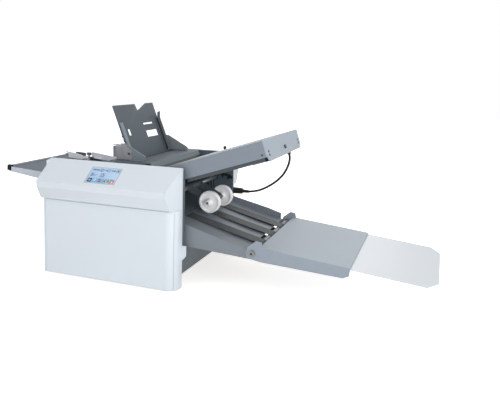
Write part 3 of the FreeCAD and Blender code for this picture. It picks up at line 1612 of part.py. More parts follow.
def pivot_screws():
    """The screws that the conveyor's outer section folds on."""
    x, z = S["pivot_x"], S["pivot_z"]
    half = S["conveyor_width"] / 2
    outer = half + S["ear_gap"] + S["conveyor_sheet"] + 0.3
    screws = []
    for side in (1, -1):
        shank = rod_y(S["pivot_radius"], x, z, *across(side, half - S["conveyor_sheet"] - 8, outer))
        washer = rod_y(S["pivot_washer_radius"], x, z, *across(side, outer, outer + 0.8))
        head = rod_y(S["pivot_head_radius"], x, z, *across(side, outer + 0.8, outer + 3.3))
        hex_hole = rod_y(2.6, x, z, *across(side, outer + 1.8, outer + 4))
        screws.append(cut(fuse(shank, washer, head), hex_hole))
    return node("pivot_screws", group(*screws))


def conveyor_extension():
    """The outer section: side plates with ears at the pivot, a deck and two tray runners."""
    sheet = S["conveyor_sheet"]
    inner = S["conveyor_width"] / 2 + S["ear_gap"]
    px, pz = S["pivot_x"] - S["extension_left"], S["pivot_z"] - S["extension_top_z"]
    long = S["extension_length"]
    tall = S["extension_height"]
    end_tall = S["extension_end_height"]
    cut_back = S["extension_chamfer"]
    plate = [
        (px - 11, pz - 5),
        (px - 9, pz + 9),
        (px + 7, pz + 25),
        (px + 19, pz + 24),
        (0, 0),
        (long, 0),
        (long, -end_tall + cut_back * 0.5),
        (long - cut_back, -end_tall - 1),
        (0, -tall),
        (px - 6, pz - 14),
    ]
    sides = [prism("xz", plate, inner, inner + sheet), prism("xz", plate, -inner - sheet, -inner)]
    deck = box(-7, long, -inner, inner, -sheet, 0)
    under = -sheet - S["tray_clearance"] * 2 - S["tray_sheet"]
    runners = [box(6, long - 8, inner - 8, inner, under - 3, under),
               box(6, long - 8, -inner, 8 - inner, under - 3, under)]
    tilt = S["extension_tilt"]
    pivot = (px * cosine(tilt) - pz * sine(tilt), px * sine(tilt) + pz * cosine(tilt))
    bore = rod_y(S["pivot_radius"] + S["running_fit"], *pivot, -inner - 9, inner + 9)
    return node("conveyor_extension", in_extension(cut(fuse(deck, *sides, *runners), bore)))


def extension_tray():
    """A thin tray with clipped corners that slides out from under the outer deck."""
    inner = S["conveyor_width"] / 2
    half = inner - 1
    top = -S["conveyor_sheet"] - S["tray_clearance"]
    start = S["extension_length"] - S["tray_overlap"]
    end = S["extension_length"] + S["tray_reach"]
    cx, cy = S["tray_corner_x"], S["tray_corner_y"]
    points = [
        (start, -half),
        (end - cx, -half),
        (end, cy - half),
        (end, half - cy),
        (end - cx, half),
        (start, half),
    ]
    return node("extension_tray", in_extension(prism("xy", points, top - S["tray_sheet"], top)))


# ---------------------------------------------------------------- switch box, screws, cable

ROCKER_PIN = 1


def side_switch_box():
    """A grey box on the far cover's left end, with the power inlet in its end face."""
    left = -HALF_LENGTH - S["switch_box_reach"]
    low, high = S["switch_box_low"], S["switch_box_high"]
    body = prism("xz", [
        (-HALF_LENGTH, low),
        (-HALF_LENGTH, high),
        (left, high),
        (left, low + 4),
        (left + 4, low),
    ], RIM, COVER_OUT)
    well = box(left - 1, left + 7, RIM + 20.4, RIM + 31.8, low + 5.8, low + 26.2)
    inlet = box(left - 1, left + 12, RIM + 3, RIM + 18, low + 7, low + 29)
    pivot = rod_y(ROCKER_PIN + S["running_fit"], left + 3.5, low + 16, RIM + 19, RIM + 33.2)
    pin_spots = ((7, 14), (7, 22), (13, 18))
    pins = [rod(1, (left + 6, RIM + y, low + z), 6.5, "x") for y, z in pin_spots]
    return node("side_switch_box", fuse(cut(body, well, inlet, pivot), *pins))


def rocker_switch():
    left = -HALF_LENGTH - S["switch_box_reach"]
    middle_z = S["switch_box_low"] + 16
    half = S["rocker_length"] / 2 - 0.4
    y0 = RIM + 26.1 - S["rocker_width"] / 2 + 0.3
    y1 = y0 + S["rocker_width"] - 0.6
    points = [
        (left + 5, middle_z - 2),
        (left + 5, middle_z + 2),
        (left - 0.5, middle_z + half - 0.8),
        (left - 2, middle_z + half - 1.2),
        (left + 0.2, middle_z),
        (left - 0.2, middle_z - half + 1.2),
        (left + 1.5, middle_z - half + 0.8),
    ]
    pin = rod_y(ROCKER_PIN, left + 3.5, middle_z, RIM + 19.2, RIM + 33)
    return node("rocker_switch", fuse(prism("xz", points, y0, y1), pin))


def panel_screws():
    """Screw heads on the upper plate: four and a stud on its end face, one on each side panel."""
    half = S["upper_width"] / 2
    head, proud = S["screw_head_radius"], S["screw_head_height"]
    face = S["upper_joint"] + S["end_plate_sheet"]
    edge = half - S["screw_edge"]
    high, low = S["screw_upper_w"], S["screw_lower_w"]
    middle = (high + low) / 2
    screws = [in_upper_plate(rod(head, (face, y, w), proud, "x"))
              for y in (-edge, edge) for w in (high, low)]
    screws.append(in_upper_plate(rod(head * 1.9, (face, 0, middle), proud * 2.5, "x")))
    side_x = S["upper_joint"] - S["side_screw_back"]
    for side in (1, -1):
        screws.append(in_upper_plate(rod_y(head, side_x, middle, *across(side, half, half + proud))))
    return node("panel_screws", group(*screws))


# The stop cable's corners: along, across, and below the top of the body.
CABLE_ROUTE = [
    (321.64, 77.45, -20.44),
    (324.6, 81.0, -10.5),
    (323.0, 88.5, 3.8),
    (316.0, 99.5, 21.0),
    (304.5, 111.5, 39.6),
    (289.0, 123.0, 56.4),
    (268.0, 136.0, 73.0),
    (244.0, 148.5, 87.8),
    (222.0, 161.0, 97.4),
    (201.6, 168.0, 101.4),
]


def cable_corners():
    top = S["body_height"].value
    return [FreeCAD.Vector(x, y, top - drop) for x, y, drop in CABLE_ROUTE]


def cable_hole():
    """The hole in the cable box's floor, in line with the cable's first run."""
    first, second = cable_corners()[:2]
    heading = (second - first).normalize()
    return shape_node("hole", Part.makeCylinder(DRIVING["cable_radius"], 9, first - heading * 3, heading))


def cable_end():
    """The room that the cable's last run takes in the plug's tail."""
    before, last = cable_corners()[-2:]
    heading = (before - last).normalize()
    return shape_node("cable_end", Part.makeCylinder(DRIVING["cable_radius"], 9, last, heading))


def route_wire(points):
    """Straight runs joined by tangent arcs, each as large as its two runs allow."""
    corners = points
    edges = []
    radii = []
    last = corners[0]
    for before, corner, after in zip(corners, corners[1:], corners[2:]):
        back = (before - corner)
        ahead = (after - corner)
        shorter = min(back.Length, ahead.Length)
        back.normalize()
        ahead.normalize()
        turn = math.pi - back.getAngle(ahead)
        trim = 0.45 * shorter
        radius = trim / math.tan(turn / 2)
        start = corner + back * trim
        end = corner + ahead * trim
        inward = back + ahead
        inward.normalize()
        middle_point = corner + inward * (radius / math.cos(turn / 2) - radius)
        edges.append(Part.LineSegment(last, start).toShape())
        edges.append(Part.Arc(start, middle_point, end).toShape())
        radii.append(round(radius, 1))
        last = end
    edges.append(Part.LineSegment(last, corners[-1]).toShape())
    return Part.Wire(edges), radii


def stop_cable():
    corners = cable_corners()
    wire, radii = route_wire(corners)
    start = corners[0]
    heading = corners[1] - start
    radius = DRIVING["cable_radius"]
    ring = Part.Wire(Part.Circle(start, heading, radius).toShape())
    tube = wire.makePipeShell([ring], True, False)
    expected = math.pi * radius ** 2 * wire.Length
    print("cable length", round(wire.Length, 1), "radii", radii)
    print("cable volume over section times length", round(tube.Volume / expected, 4))
    return node("stop_cable", shape_node("stop_cable", tube))


def cable_plug():
    """The moulded plug and its tapered relief, in line with the socket."""
    y, z = S["cable_socket_y"], S["cable_socket_z"]
    start = HALF_LENGTH + 0.6
    barrel = rod(S["plug_radius"], (start, y, z), S["plug_length"] - 0.6, "x")
    nose = rod(S["plug_radius"] - 2, (start - 6, y, z), 8, "x")
    tail = DOC.addObject("Part::Cone", "tail")
    bind(tail, "Radius1", S["plug_radius"] - 1.6)
    bind(tail, "Radius2", S["cable_radius"] + 0.9)
    bind(tail, "Height", S["plug_tail"] - 0.4)
    place(tail, HALF_LENGTH + S["plug_length"], y, z, (0, 1, 0), 90)
    return node("cable_plug", cut(fuse(barrel, nose, tail), cable_end()))


def cable_socket():
    """The round socket in the far cover's right end."""
    y, z = S["cable_socket_y"], S["cable_socket_z"]
    ring = rod(S["socket_radius"], (HALF_LENGTH, y, z), 0.6, "x")
    sleeve = rod(S["socket_radius"] - 1.5, (HALF_LENGTH - 9, y, z), 9, "x")
    hole = rod(S["plug_radius"] - 2, (HALF_LENGTH - 5.4, y, z), 9, "x")
    return node("cable_socket", cut(fuse(ring, sleeve), hole))


def socket_opening():
    y, z = S["cable_socket_y"], S["cable_socket_z"]
    return [rod(S["socket_radius"] - 1.5, (HALF_LENGTH - 20, y, z), 40, "x")]


def build():
    base_pan()
    rubber_feet()
    side_frame("near_side_frame", -1)
    side_frame("far_side_frame", 1)
    cross_bars()
    console_cover("near_console_cover", -1, screen_openings())
    front_panel("near_front_panel", -1)
    console_cover("far_console_cover", 1, socket_opening())
    front_panel("far_front_panel", 1)
    touchscreen()
    control_board()
    side_switch_box()
    rocker_switch()
    main_motor()
    motor_pulley()
    drive_belts()
    fold_rollers()
    shaft_bushes()
    feed_shaft()
    feed_tyres()
    node("paper_guides", group(infeed_guide(), exit_guides()))
    separator_arm()
    separator_pad()
    hopper_base()
    hopper_back_plate()
    hopper_bracket()
    side_guide("near_side_guide", -1)
    side_guide("far_side_guide", 1)
    guide_thumb_screws()
    left_plate_cover()
    node("plate_sheets", group(left_plate_sheets(), upper_plate_sheets()))
    fold_stop("left_fold_stop", -S["left_stop_at"], -S["left_screw_drop"], 0, in_left_plate)
    stop_screw("left_stop_screw", -S["left_slot_end"] - 6, -S["left_start"] - 14, -S["left_screw_drop"],
               in_left_plate)
    left_plate_arm()
    clamp_knob()
    corner_caps()
    upper_plate_channel()
    upper_plate_end_box()
    fold_stop("upper_fold_stop", S["upper_stop_at"], S["upper_screw_rise"], 0, in_upper_plate)
    stop_screw("upper_stop_screw", S["upper_slot_start"] - 8, S["upper_joint"] - 10, S["upper_screw_rise"],
               in_upper_plate)
    stop_motors()
    plate_hangers()
    release_lever()
    stacker_arm()
    stacker_shaft()
    stacker_wheels()
    conveyor_bed()
    conveyor_belts()
    conveyor_drive_roller()
    conveyor_idle_roller()
    pivot_screws()
    conveyor_extension()
    extension_tray()
    panel_screws()
    stop_cable()
    cable_plug()
    cable_socket()


def export():
    DOC.recompute()
    broken = [item.Label for item in DOC.Objects if "Invalid" in item.State or "Error" in item.State]
    broken += [item.Label for item in NODES if item.Shape.isNull() or not item.Shape.isValid()]
    if broken:
        raise RuntimeError(f"failed objects: {broken}")
    os.makedirs("parts", exist_ok=True)
    for item in NODES:
        item.Shape.exportStep(f"parts/{item.Label}.step")
    print(len(NODES), "nodes written")


build()
export()
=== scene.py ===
"""Looks of the desktop paper folding machine: finishes, display, fittings, stop cable and studio.

x runs from the left plate towards the tray, y from the near side to the far side, and z upwards.
Lengths are in millimetres and turned into metres where Blender takes them. The camera, the
cable, the studio and the scales of the finishes are in metres throughout.
"""

import math

import bmesh
import bpy
from mathutils import Matrix, Vector


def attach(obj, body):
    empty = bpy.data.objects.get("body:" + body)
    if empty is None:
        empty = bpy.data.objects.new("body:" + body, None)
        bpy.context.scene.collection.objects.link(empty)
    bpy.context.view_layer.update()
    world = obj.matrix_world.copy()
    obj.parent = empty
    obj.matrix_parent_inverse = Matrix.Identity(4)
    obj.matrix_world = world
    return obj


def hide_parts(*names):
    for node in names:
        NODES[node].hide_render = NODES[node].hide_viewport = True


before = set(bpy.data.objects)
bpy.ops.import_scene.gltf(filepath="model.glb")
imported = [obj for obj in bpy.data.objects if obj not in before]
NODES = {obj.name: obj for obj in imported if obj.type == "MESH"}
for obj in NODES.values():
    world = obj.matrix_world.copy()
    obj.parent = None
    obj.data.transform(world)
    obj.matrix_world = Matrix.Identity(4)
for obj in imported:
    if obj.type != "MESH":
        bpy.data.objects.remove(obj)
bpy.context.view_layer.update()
MM = 0.001


# ---------------------------------------------------------------- camera

CAMERA_SPOT = (0.64667, -1.25987, 0.44453)
CAMERA_YAW, CAMERA_PITCH, CAMERA_ROLL = (math.radians(angle) for angle in (22.14, 7.19, 1.05))
CAMERA_SENSOR, CAMERA_LENS = 36, 43.0
CAMERA_SHIFT = (0.1, -0.1)
CAMERA_CLIP = (0.05, 30)


def make_camera():
    """The photograph's view: the machine's near right corner, from a little above."""
    flat = math.cos(CAMERA_PITCH)
    ahead = Vector((-math.sin(CAMERA_YAW) * flat, math.cos(CAMERA_YAW) * flat,
                    -math.sin(CAMERA_PITCH)))
    right = Vector((math.cos(CAMERA_YAW), math.sin(CAMERA_YAW), 0))
    up = right.cross(ahead)
    level = right * math.cos(CAMERA_ROLL) + up * math.sin(CAMERA_ROLL)
    tall = up * math.cos(CAMERA_ROLL) - right * math.sin(CAMERA_ROLL)
    data = bpy.data.cameras.new("camera")
    data.sensor_width = CAMERA_SENSOR
    data.lens = CAMERA_LENS
    data.shift_x, data.shift_y = CAMERA_SHIFT
    data.clip_start, data.clip_end = CAMERA_CLIP
    camera = bpy.data.objects.new("camera", data)
    bpy.context.scene.collection.objects.link(camera)
    turn = Matrix((level, tall, -ahead)).transposed().to_4x4()
    camera.matrix_world = Matrix.Translation(CAMERA_SPOT) @ turn
    bpy.context.scene.camera = camera


# ---------------------------------------------------------------- building a finish

class Tree:
    """Short names for building one material's nodes."""

    def __init__(self, name):
        self.material = bpy.data.materials.new(name)
        self.material.use_nodes = True
        self.nodes = self.material.node_tree.nodes
        self.links = self.material.node_tree.links
        self.shader = self.nodes["Principled BSDF"]

    def add(self, kind, **inputs):
        """A new node; an input's name has _ where Blender's has a space."""
        node = self.nodes.new(kind)
        for name, value in inputs.items():
            node.inputs[name.replace("_", " ")].default_value = value
        return node

    def link(self, out, into):
        self.links.new(out, into)

    def place(self, stretch=(1, 1, 1), turn=(0, 0, 0)):
        """Coordinates in metres in the machine's own frame."""
        where = self.add("ShaderNodeTexCoord")
        mapping = self.add("ShaderNodeMapping", Scale=stretch, Rotation=turn)
        self.link(where.outputs["Object"], mapping.inputs["Vector"])
        return mapping.outputs["Vector"]

    def noise(self, where, scale, detail=3.0, rough=0.5):
        node = self.add("ShaderNodeTexNoise", Scale=scale, Detail=detail, Roughness=rough)
        self.link(where, node.inputs["Vector"])
        return node.outputs["Fac"]

    def between(self, factor, low, high, start=0.3, end=0.7):
        """A number that runs from low to high as the factor does from start to end."""
        node = self.add("ShaderNodeMapRange", From_Min=start, From_Max=end, To_Min=low,
                        To_Max=high)
        self.link(factor, node.inputs["Value"])
        return node.outputs["Result"]

    def mix(self, factor, first, second):
        """A colour between two, each of which is a plain colour or another node's output."""
        node = self.nodes.new("ShaderNodeMix")
        node.data_type = "RGBA"
        self.link(factor, node.inputs["Factor"])
        for value, socket in ((first, node.inputs["A"]), (second, node.inputs["B"])):
            if isinstance(value, tuple):
                socket.default_value = (*value, 1)
            else:
                self.link(value, socket)
        return node.outputs["Result"]

    def bump(self, height, strength, distance):
        node = self.add("ShaderNodeBump", Strength=strength, Distance=distance)
        self.link(height, node.inputs["Height"])
        self.link(node.outputs["Normal"], self.shader.inputs["Normal"])

    def set(self, **inputs):
        """Uniform values on the shader's own inputs."""
        for name, value in inputs.items():
            self.shader.inputs[name.replace("_", " ")].default_value = value


def shade(colour, factor):
    return tuple(min(1.0, part * factor) for part in colour)


def surface(name, colour, rough, metal=0.0, mottle=0.05, broad=18, fine=900, grain=0.12,
            depth=0.0002, spread=0.05, stretch=(1, 1, 1), **more):
    """A finish with broad colour drift, a fine grain in the surface and uneven gloss.

    mottle is how far the colour drifts, broad and fine are the scales of the drift and of the
    grain, grain and depth are the strength and the distance of the bump in metres, and spread is
    how far the roughness varies either way.
    """
    tree = Tree(name)
    where = tree.place(stretch)
    drift = tree.noise(where, broad, detail=4, rough=0.55)
    speck = tree.noise(where, fine, detail=2, rough=0.6)
    dark, light = shade(colour, 1 - mottle), shade(colour, 1 + mottle * 0.6)
    base = tree.mix(tree.between(drift, 0, 1), dark, light)
    fleck = tree.mix(tree.between(speck, 0, 1), shade(colour, 1 - mottle * 0.8), base)
    tree.link(fleck, tree.shader.inputs["Base Color"])
    gloss = tree.between(speck, rough - spread, rough + spread)
    tree.link(gloss, tree.shader.inputs["Roughness"])
    tree.bump(speck, grain, depth)
    tree.set(Metallic=metal, **more)
    return tree.material


def moulding(name, colour):
    """The covers' smooth pale plastic."""
    return surface(name, colour, 0.44, mottle=0.015, fine=1600, grain=0.10, depth=0.00012,
                   spread=0.04)


def powder_coat(name, colour, rough=0.5, mottle=0.04, fine=850, grain=0.22):
    """The baked coat of the sheet pieces, with its fine even grain."""
    return surface(name, colour, rough, mottle=mottle, fine=fine, grain=grain)


def glaze(name, colour, rough=0.35):
    """The almost even colour of the display's printed and lit marks."""
    return surface(name, colour, rough, mottle=0.04, broad=200, fine=2500, grain=0.03,
                   depth=0.00003)


def board_finish():
    """Green solder mask with paler tracks in two directions."""
    tree = Tree("circuit_board")
    where = tree.place()
    tracks = tree.add("ShaderNodeTexBrick", Scale=70.0, Color1=(0.010, 0.085, 0.045, 1),
                      Color2=(0.014, 0.11, 0.055, 1), Mortar=(0.06, 0.24, 0.11, 1),
                      Mortar_Size=0.012)
    upright = tree.place(turn=(math.pi / 2, 0, 0))
    tree.link(upright, tracks.inputs["Vector"])
    tree.link(tracks.outputs["Color"], tree.shader.inputs["Base Color"])
    speck = tree.noise(where, 800)
    tree.link(tree.between(speck, 0.25, 0.4), tree.shader.inputs["Roughness"])
    tree.bump(tracks.outputs["Fac"], 0.2, 0.0002)
    return tree.material


def screen_finish():
    """A lit display's pale blue field, which drifts a little in tone."""
    tree = Tree("display_field")
    where = tree.place()
    drift = tree.between(tree.noise(where, 14, detail=2), 0, 1, start=0.35, end=0.65)
    field = tree.mix(drift, (0.32, 0.485, 0.69), (0.41, 0.56, 0.75))
    tree.link(field, tree.shader.inputs["Base Color"])
    tree.link(field, tree.shader.inputs["Emission Color"])
    tree.set(Emission_Strength=0.12, Roughness=0.16, Coat_Weight=0.4)
    return tree.material


# ---------------------------------------------------------------- the finishes

COVER = moulding("cover_plastic", (0.653, 0.708, 0.765))
# A darker copy of the cover plastic: painted shade on the right-facing faces of the far cover and
# far front panel.
COVER_SHADED = moulding("cover_plastic_painted_shade", (0.60, 0.64, 0.68))

PANEL = powder_coat("grey_powder_coat", (0.196, 0.230, 0.272), mottle=0.03)
# A lighter copy of the grey coat: painted light on the slanting plate's end box and on the top of
# the conveyor extension.
PANEL_LIT = powder_coat("panel_painted_light_coat", (0.305, 0.357, 0.412), 0.48, mottle=0.03)
HOPPER = powder_coat("dark_powder_coat", (0.059, 0.080, 0.098), 0.56, mottle=0.05, grain=0.25)
# The hopper base's coat in two painted tones: a darker copy for its top, as painted shade against
# the sheen there, and a lighter copy for its lip faces, as painted light.
DECK_SHADED = powder_coat("deck_painted_shade_coat", (0.055, 0.074, 0.092), 0.62)
LIP_LIT = powder_coat("lip_painted_light_coat", (0.122, 0.162, 0.184), 0.52)
CHEEK = powder_coat("cheek_powder_coat", (0.145, 0.175, 0.198))
# A lighter copy of the cheek coat: painted light on the hopper's far cheek.
CHEEK_LIT = powder_coat("cheek_painted_light_coat", (0.235, 0.262, 0.285), 0.46)
MAUVE = powder_coat("warm_grey_powder_coat", (0.235, 0.245, 0.265), mottle=0.03, grain=0.2)
CONVEYOR = powder_coat("conveyor_powder_coat", (0.185, 0.211, 0.242), 0.46)
EXTENSION = powder_coat("outer_powder_coat", (0.262, 0.305, 0.36), 0.46, mottle=0.03, grain=0.2)
FRAME = powder_coat("frame_paint", (0.080, 0.102, 0.118), mottle=0.08, fine=800)
# A lighter copy of the frame paint: painted light on the far side frame.
FRAME_LIT = powder_coat("far_frame_painted_light", (0.105, 0.142, 0.168), mottle=0.08, fine=800)
BASE = powder_coat("base_paint", (0.185, 0.222, 0.248), 0.55, mottle=0.06, fine=800)
RAIL = powder_coat("rail_paint", (0.040, 0.052, 0.060), 0.6, mottle=0.05, fine=900, grain=0.2)
DARK_TOP = powder_coat("plate_top_paint", (0.068, 0.090, 0.115), 0.54, 0.05, 900, 0.16)
FLANGE = powder_coat("plate_flange_paint", (0.51, 0.55, 0.62), 0.44, 0.03, 900, 0.16)
ARM = powder_coat("arm_paint", (0.90, 0.92, 0.96), 0.46, 0.03, 900, 0.16)

STEEL = surface("brushed_steel", (0.60, 0.61, 0.63), 0.30, 1.0, mottle=0.08, broad=60,
                fine=1400, grain=0.10, depth=0.00006, spread=0.09, stretch=(30, 0.6, 30))
ZINC = surface("zinc_plate", (0.50, 0.515, 0.54), 0.36, 0.85, mottle=0.09, broad=70, fine=700,
               grain=0.10, depth=0.0001, spread=0.08)
ROLL = surface("turned_tube", (0.30, 0.31, 0.33), 0.55, 0.5, mottle=0.08, broad=70,
               depth=0.0001)
BRONZE = surface("sintered_bronze", (0.46, 0.31, 0.15), 0.42, 0.9, mottle=0.14, broad=120,
                 fine=2200, grain=0.3)
SCREW = surface("dark_screw", (0.07, 0.075, 0.085), 0.4, 0.6, mottle=0.12, broad=200, fine=1500,
                depth=0.00008)
CLAMP = surface("dark_nickel", (0.22, 0.235, 0.25), 0.34, 0.8, mottle=0.08, broad=120,
                fine=1200, grain=0.1, depth=0.00008)
MOTOR = surface("motor_can", (0.045, 0.048, 0.053), 0.42, 0.3, mottle=0.1, grain=0.2)

RUBBER = surface("roller_rubber", (0.022, 0.025, 0.028), 0.62, mottle=0.18, broad=40,
                 fine=1500, grain=0.35)
TYRE = surface("tyre_rubber", (0.060, 0.062, 0.066), 0.7, mottle=0.15, broad=50, fine=1300,
               grain=0.45)
BELT = surface("belt_rubber", (0.050, 0.058, 0.064), 0.6, mottle=0.12, fine=1100, grain=0.4,
               stretch=(1, 3, 1))
FOOT = surface("foot_rubber", (0.02, 0.02, 0.022), 0.75, mottle=0.2, grain=0.5)
CAP = surface("cap_rubber", (0.005, 0.0055, 0.007), 0.75, mottle=0.2, fine=1300, grain=0.2,
              depth=0.0001, Specular_IOR_Level=0.25)
JACKET = surface("cable_jacket", (0.012, 0.012, 0.014), 0.42, mottle=0.2, fine=1800, grain=0.2,
                 depth=0.0001)

WHEEL = surface("soft_white_wheel", (0.95, 0.96, 0.97), 0.5, mottle=0.025, broad=30, grain=0.10)
TRAY = surface("tray_plastic", (0.62, 0.66, 0.70), 0.38, mottle=0.02, fine=1200)
BLACK = surface("black_plastic", (0.012, 0.013, 0.015), 0.38, mottle=0.2, fine=1400, grain=0.18,
                depth=0.0001)
NYLON = surface("grey_nylon", (0.17, 0.185, 0.20), 0.5, fine=1300, grain=0.16)
GEAR = surface("acetal_gear", (0.55, 0.54, 0.50), 0.45, fine=1300)

BOARD = board_finish()
DISPLAY = screen_finish()
BEZEL = glaze("display_bezel", (0.42, 0.48, 0.54), 0.25)
INK = glaze("display_ink", (0.012, 0.03, 0.07))
INK_BLACK = glaze("display_black_button", (0.008, 0.008, 0.012))
INK_BLUE = glaze("display_blue_button", (0.09, 0.36, 0.70))
INK_GREEN = glaze("display_green_button", (0.02, 0.32, 0.20))
INK_RED = glaze("display_red_button", (0.72, 0.09, 0.07))
INK_WHITE = glaze("display_white_mark", (0.85, 0.90, 0.95))


# ---------------------------------------------------------------- frames of the tilted parts

NEARLY_UPRIGHT = 0.9  # share of a direction along z from which it has no level side to take


def moved(spot):
    """A move to a point in mm."""
    return Matrix.Translation(Vector(spot) * MM)


def slanted(origin, along, up):
    """A frame at a point in mm, with x along the part, z off its face and y across."""
    along, up = Vector(along).normalized(), Vector(up).normalized()
    return moved(origin) @ Matrix((along, up.cross(along), up)).transposed().to_4x4()


def facing(spot, outward):
    """A frame at a point in mm whose z looks along an outward direction."""
    outward = Vector(outward).normalized()
    side = Vector((0, 0, 1)) if abs(outward.z) < NEARLY_UPRIGHT else Vector((1, 0, 0))
    along = side.cross(outward).normalized()
    return moved(spot) @ Matrix((along, outward.cross(along), outward)).transposed().to_4x4()


UPPER = slanted((62, 0, 214.7), (0.94888, 0, 0.31565), (-0.31565, 0, 0.94888))
LEFT = slanted((65.44, 0, 188.03), (0.997916, 0, -0.064532), (0.064532, 0, 0.997916))
UPRIGHT = Matrix.Rotation(math.pi / 2, 4, "X")  # turns an outline in x and y up into x and z

SCREEN_TILT = math.radians(37.56)
SCREEN_MIDDLE = (-8.3, -188.19, 230.12)
SCREEN_NARROWING = 0.96  # the display's drawing is a little wider than the glass
SLOPE = slanted(SCREEN_MIDDLE, (1, 0, 0), (0, -math.sin(SCREEN_TILT), math.cos(SCREEN_TILT)))
GLASS = SLOPE @ Matrix.Diagonal((SCREEN_NARROWING, 1, 1, 1))


# ---------------------------------------------------------------- which face gets which finish
# Each rule tests one face of a node by its middle, in mm, and its normal.

TURNED, STEEP, SQUARE = 0.5, 0.7, 0.9  # least share of a normal along the axis it faces
RUBBER_HALF = 140.05  # half the length of a fold roller's rubber
GEAR_SIDES = (157.5, 166.5)
FAR_PULLEY_SIDE, NEAR_PULLEY_SIDE = 167.5, -156.5
DECK_LEVEL = 254
BOX_HALF, BOX_FRONT = 111.6, 19  # the support box between the hopper's cheeks
FAR_CHEEK_SIDE = 60
LEG_TURN, LEG_SIDE = 0.85, 93.5  # the leg of the far paper guide
ARM_PAD = (106, 111)
CHANNEL_FOOT = -17.05  # below the slanting plate's own plane
PIVOT_X, PIVOT_Z, PIVOT_SOCKET = 308.4, 90.8, 2.8


def to_the_right(middle, normal):
    return normal.x > TURNED


# Downward faces, which the nodes give a darker coat as painted shade under the part.
def shaded_underside(middle, normal):
    return normal.z < -TURNED


def top(middle, normal):
    return normal.z > SQUARE


def deck(middle, normal):
    return normal.z > SQUARE and middle.z > DECK_LEVEL


def screen_slope(middle, normal):
    return normal.z > STEEP and normal.y < -TURNED


def roller_rubber(middle, normal):
    return abs(middle.y) < RUBBER_HALF


def roller_gear(middle, normal):
    return GEAR_SIDES[0] < middle.y < GEAR_SIDES[1]


def roller_pulley(middle, normal):
    return middle.y > FAR_PULLEY_SIDE or middle.y < NEAR_PULLEY_SIDE


def feed_pulley(middle, normal):
    return middle.y < NEAR_PULLEY_SIDE


def far_cheek(middle, normal):
    return middle.y > FAR_CHEEK_SIDE


def support_box(middle, normal):
    return abs(middle.y) < BOX_HALF and middle.x < BOX_FRONT


def paper_side(middle, normal):
    return normal.y > STEEP


# The front face of the far paper guide's leg, painted black as painted shade in the gap beside
# the hopper plate.
def shaded_guide_leg(middle, normal):
    return normal.x > LEG_TURN and middle.y < LEG_SIDE


def arm_pad(middle, normal):
    return ARM_PAD[0] < middle.y < ARM_PAD[1]


def channel_foot(middle, normal):
    return (UPPER.inverted() @ (middle * MM)).z / MM < CHANNEL_FOOT


# The socket in each pivot screw's head, painted black as painted shade in the recess.
def shaded_pivot_socket(middle, normal):
    return math.hypot(middle.x - PIVOT_X, middle.z - PIVOT_Z) < PIVOT_SOCKET


ROLLER = (STEEL, (roller_rubber, RUBBER), (roller_gear, GEAR), (roller_pulley, ZINC))

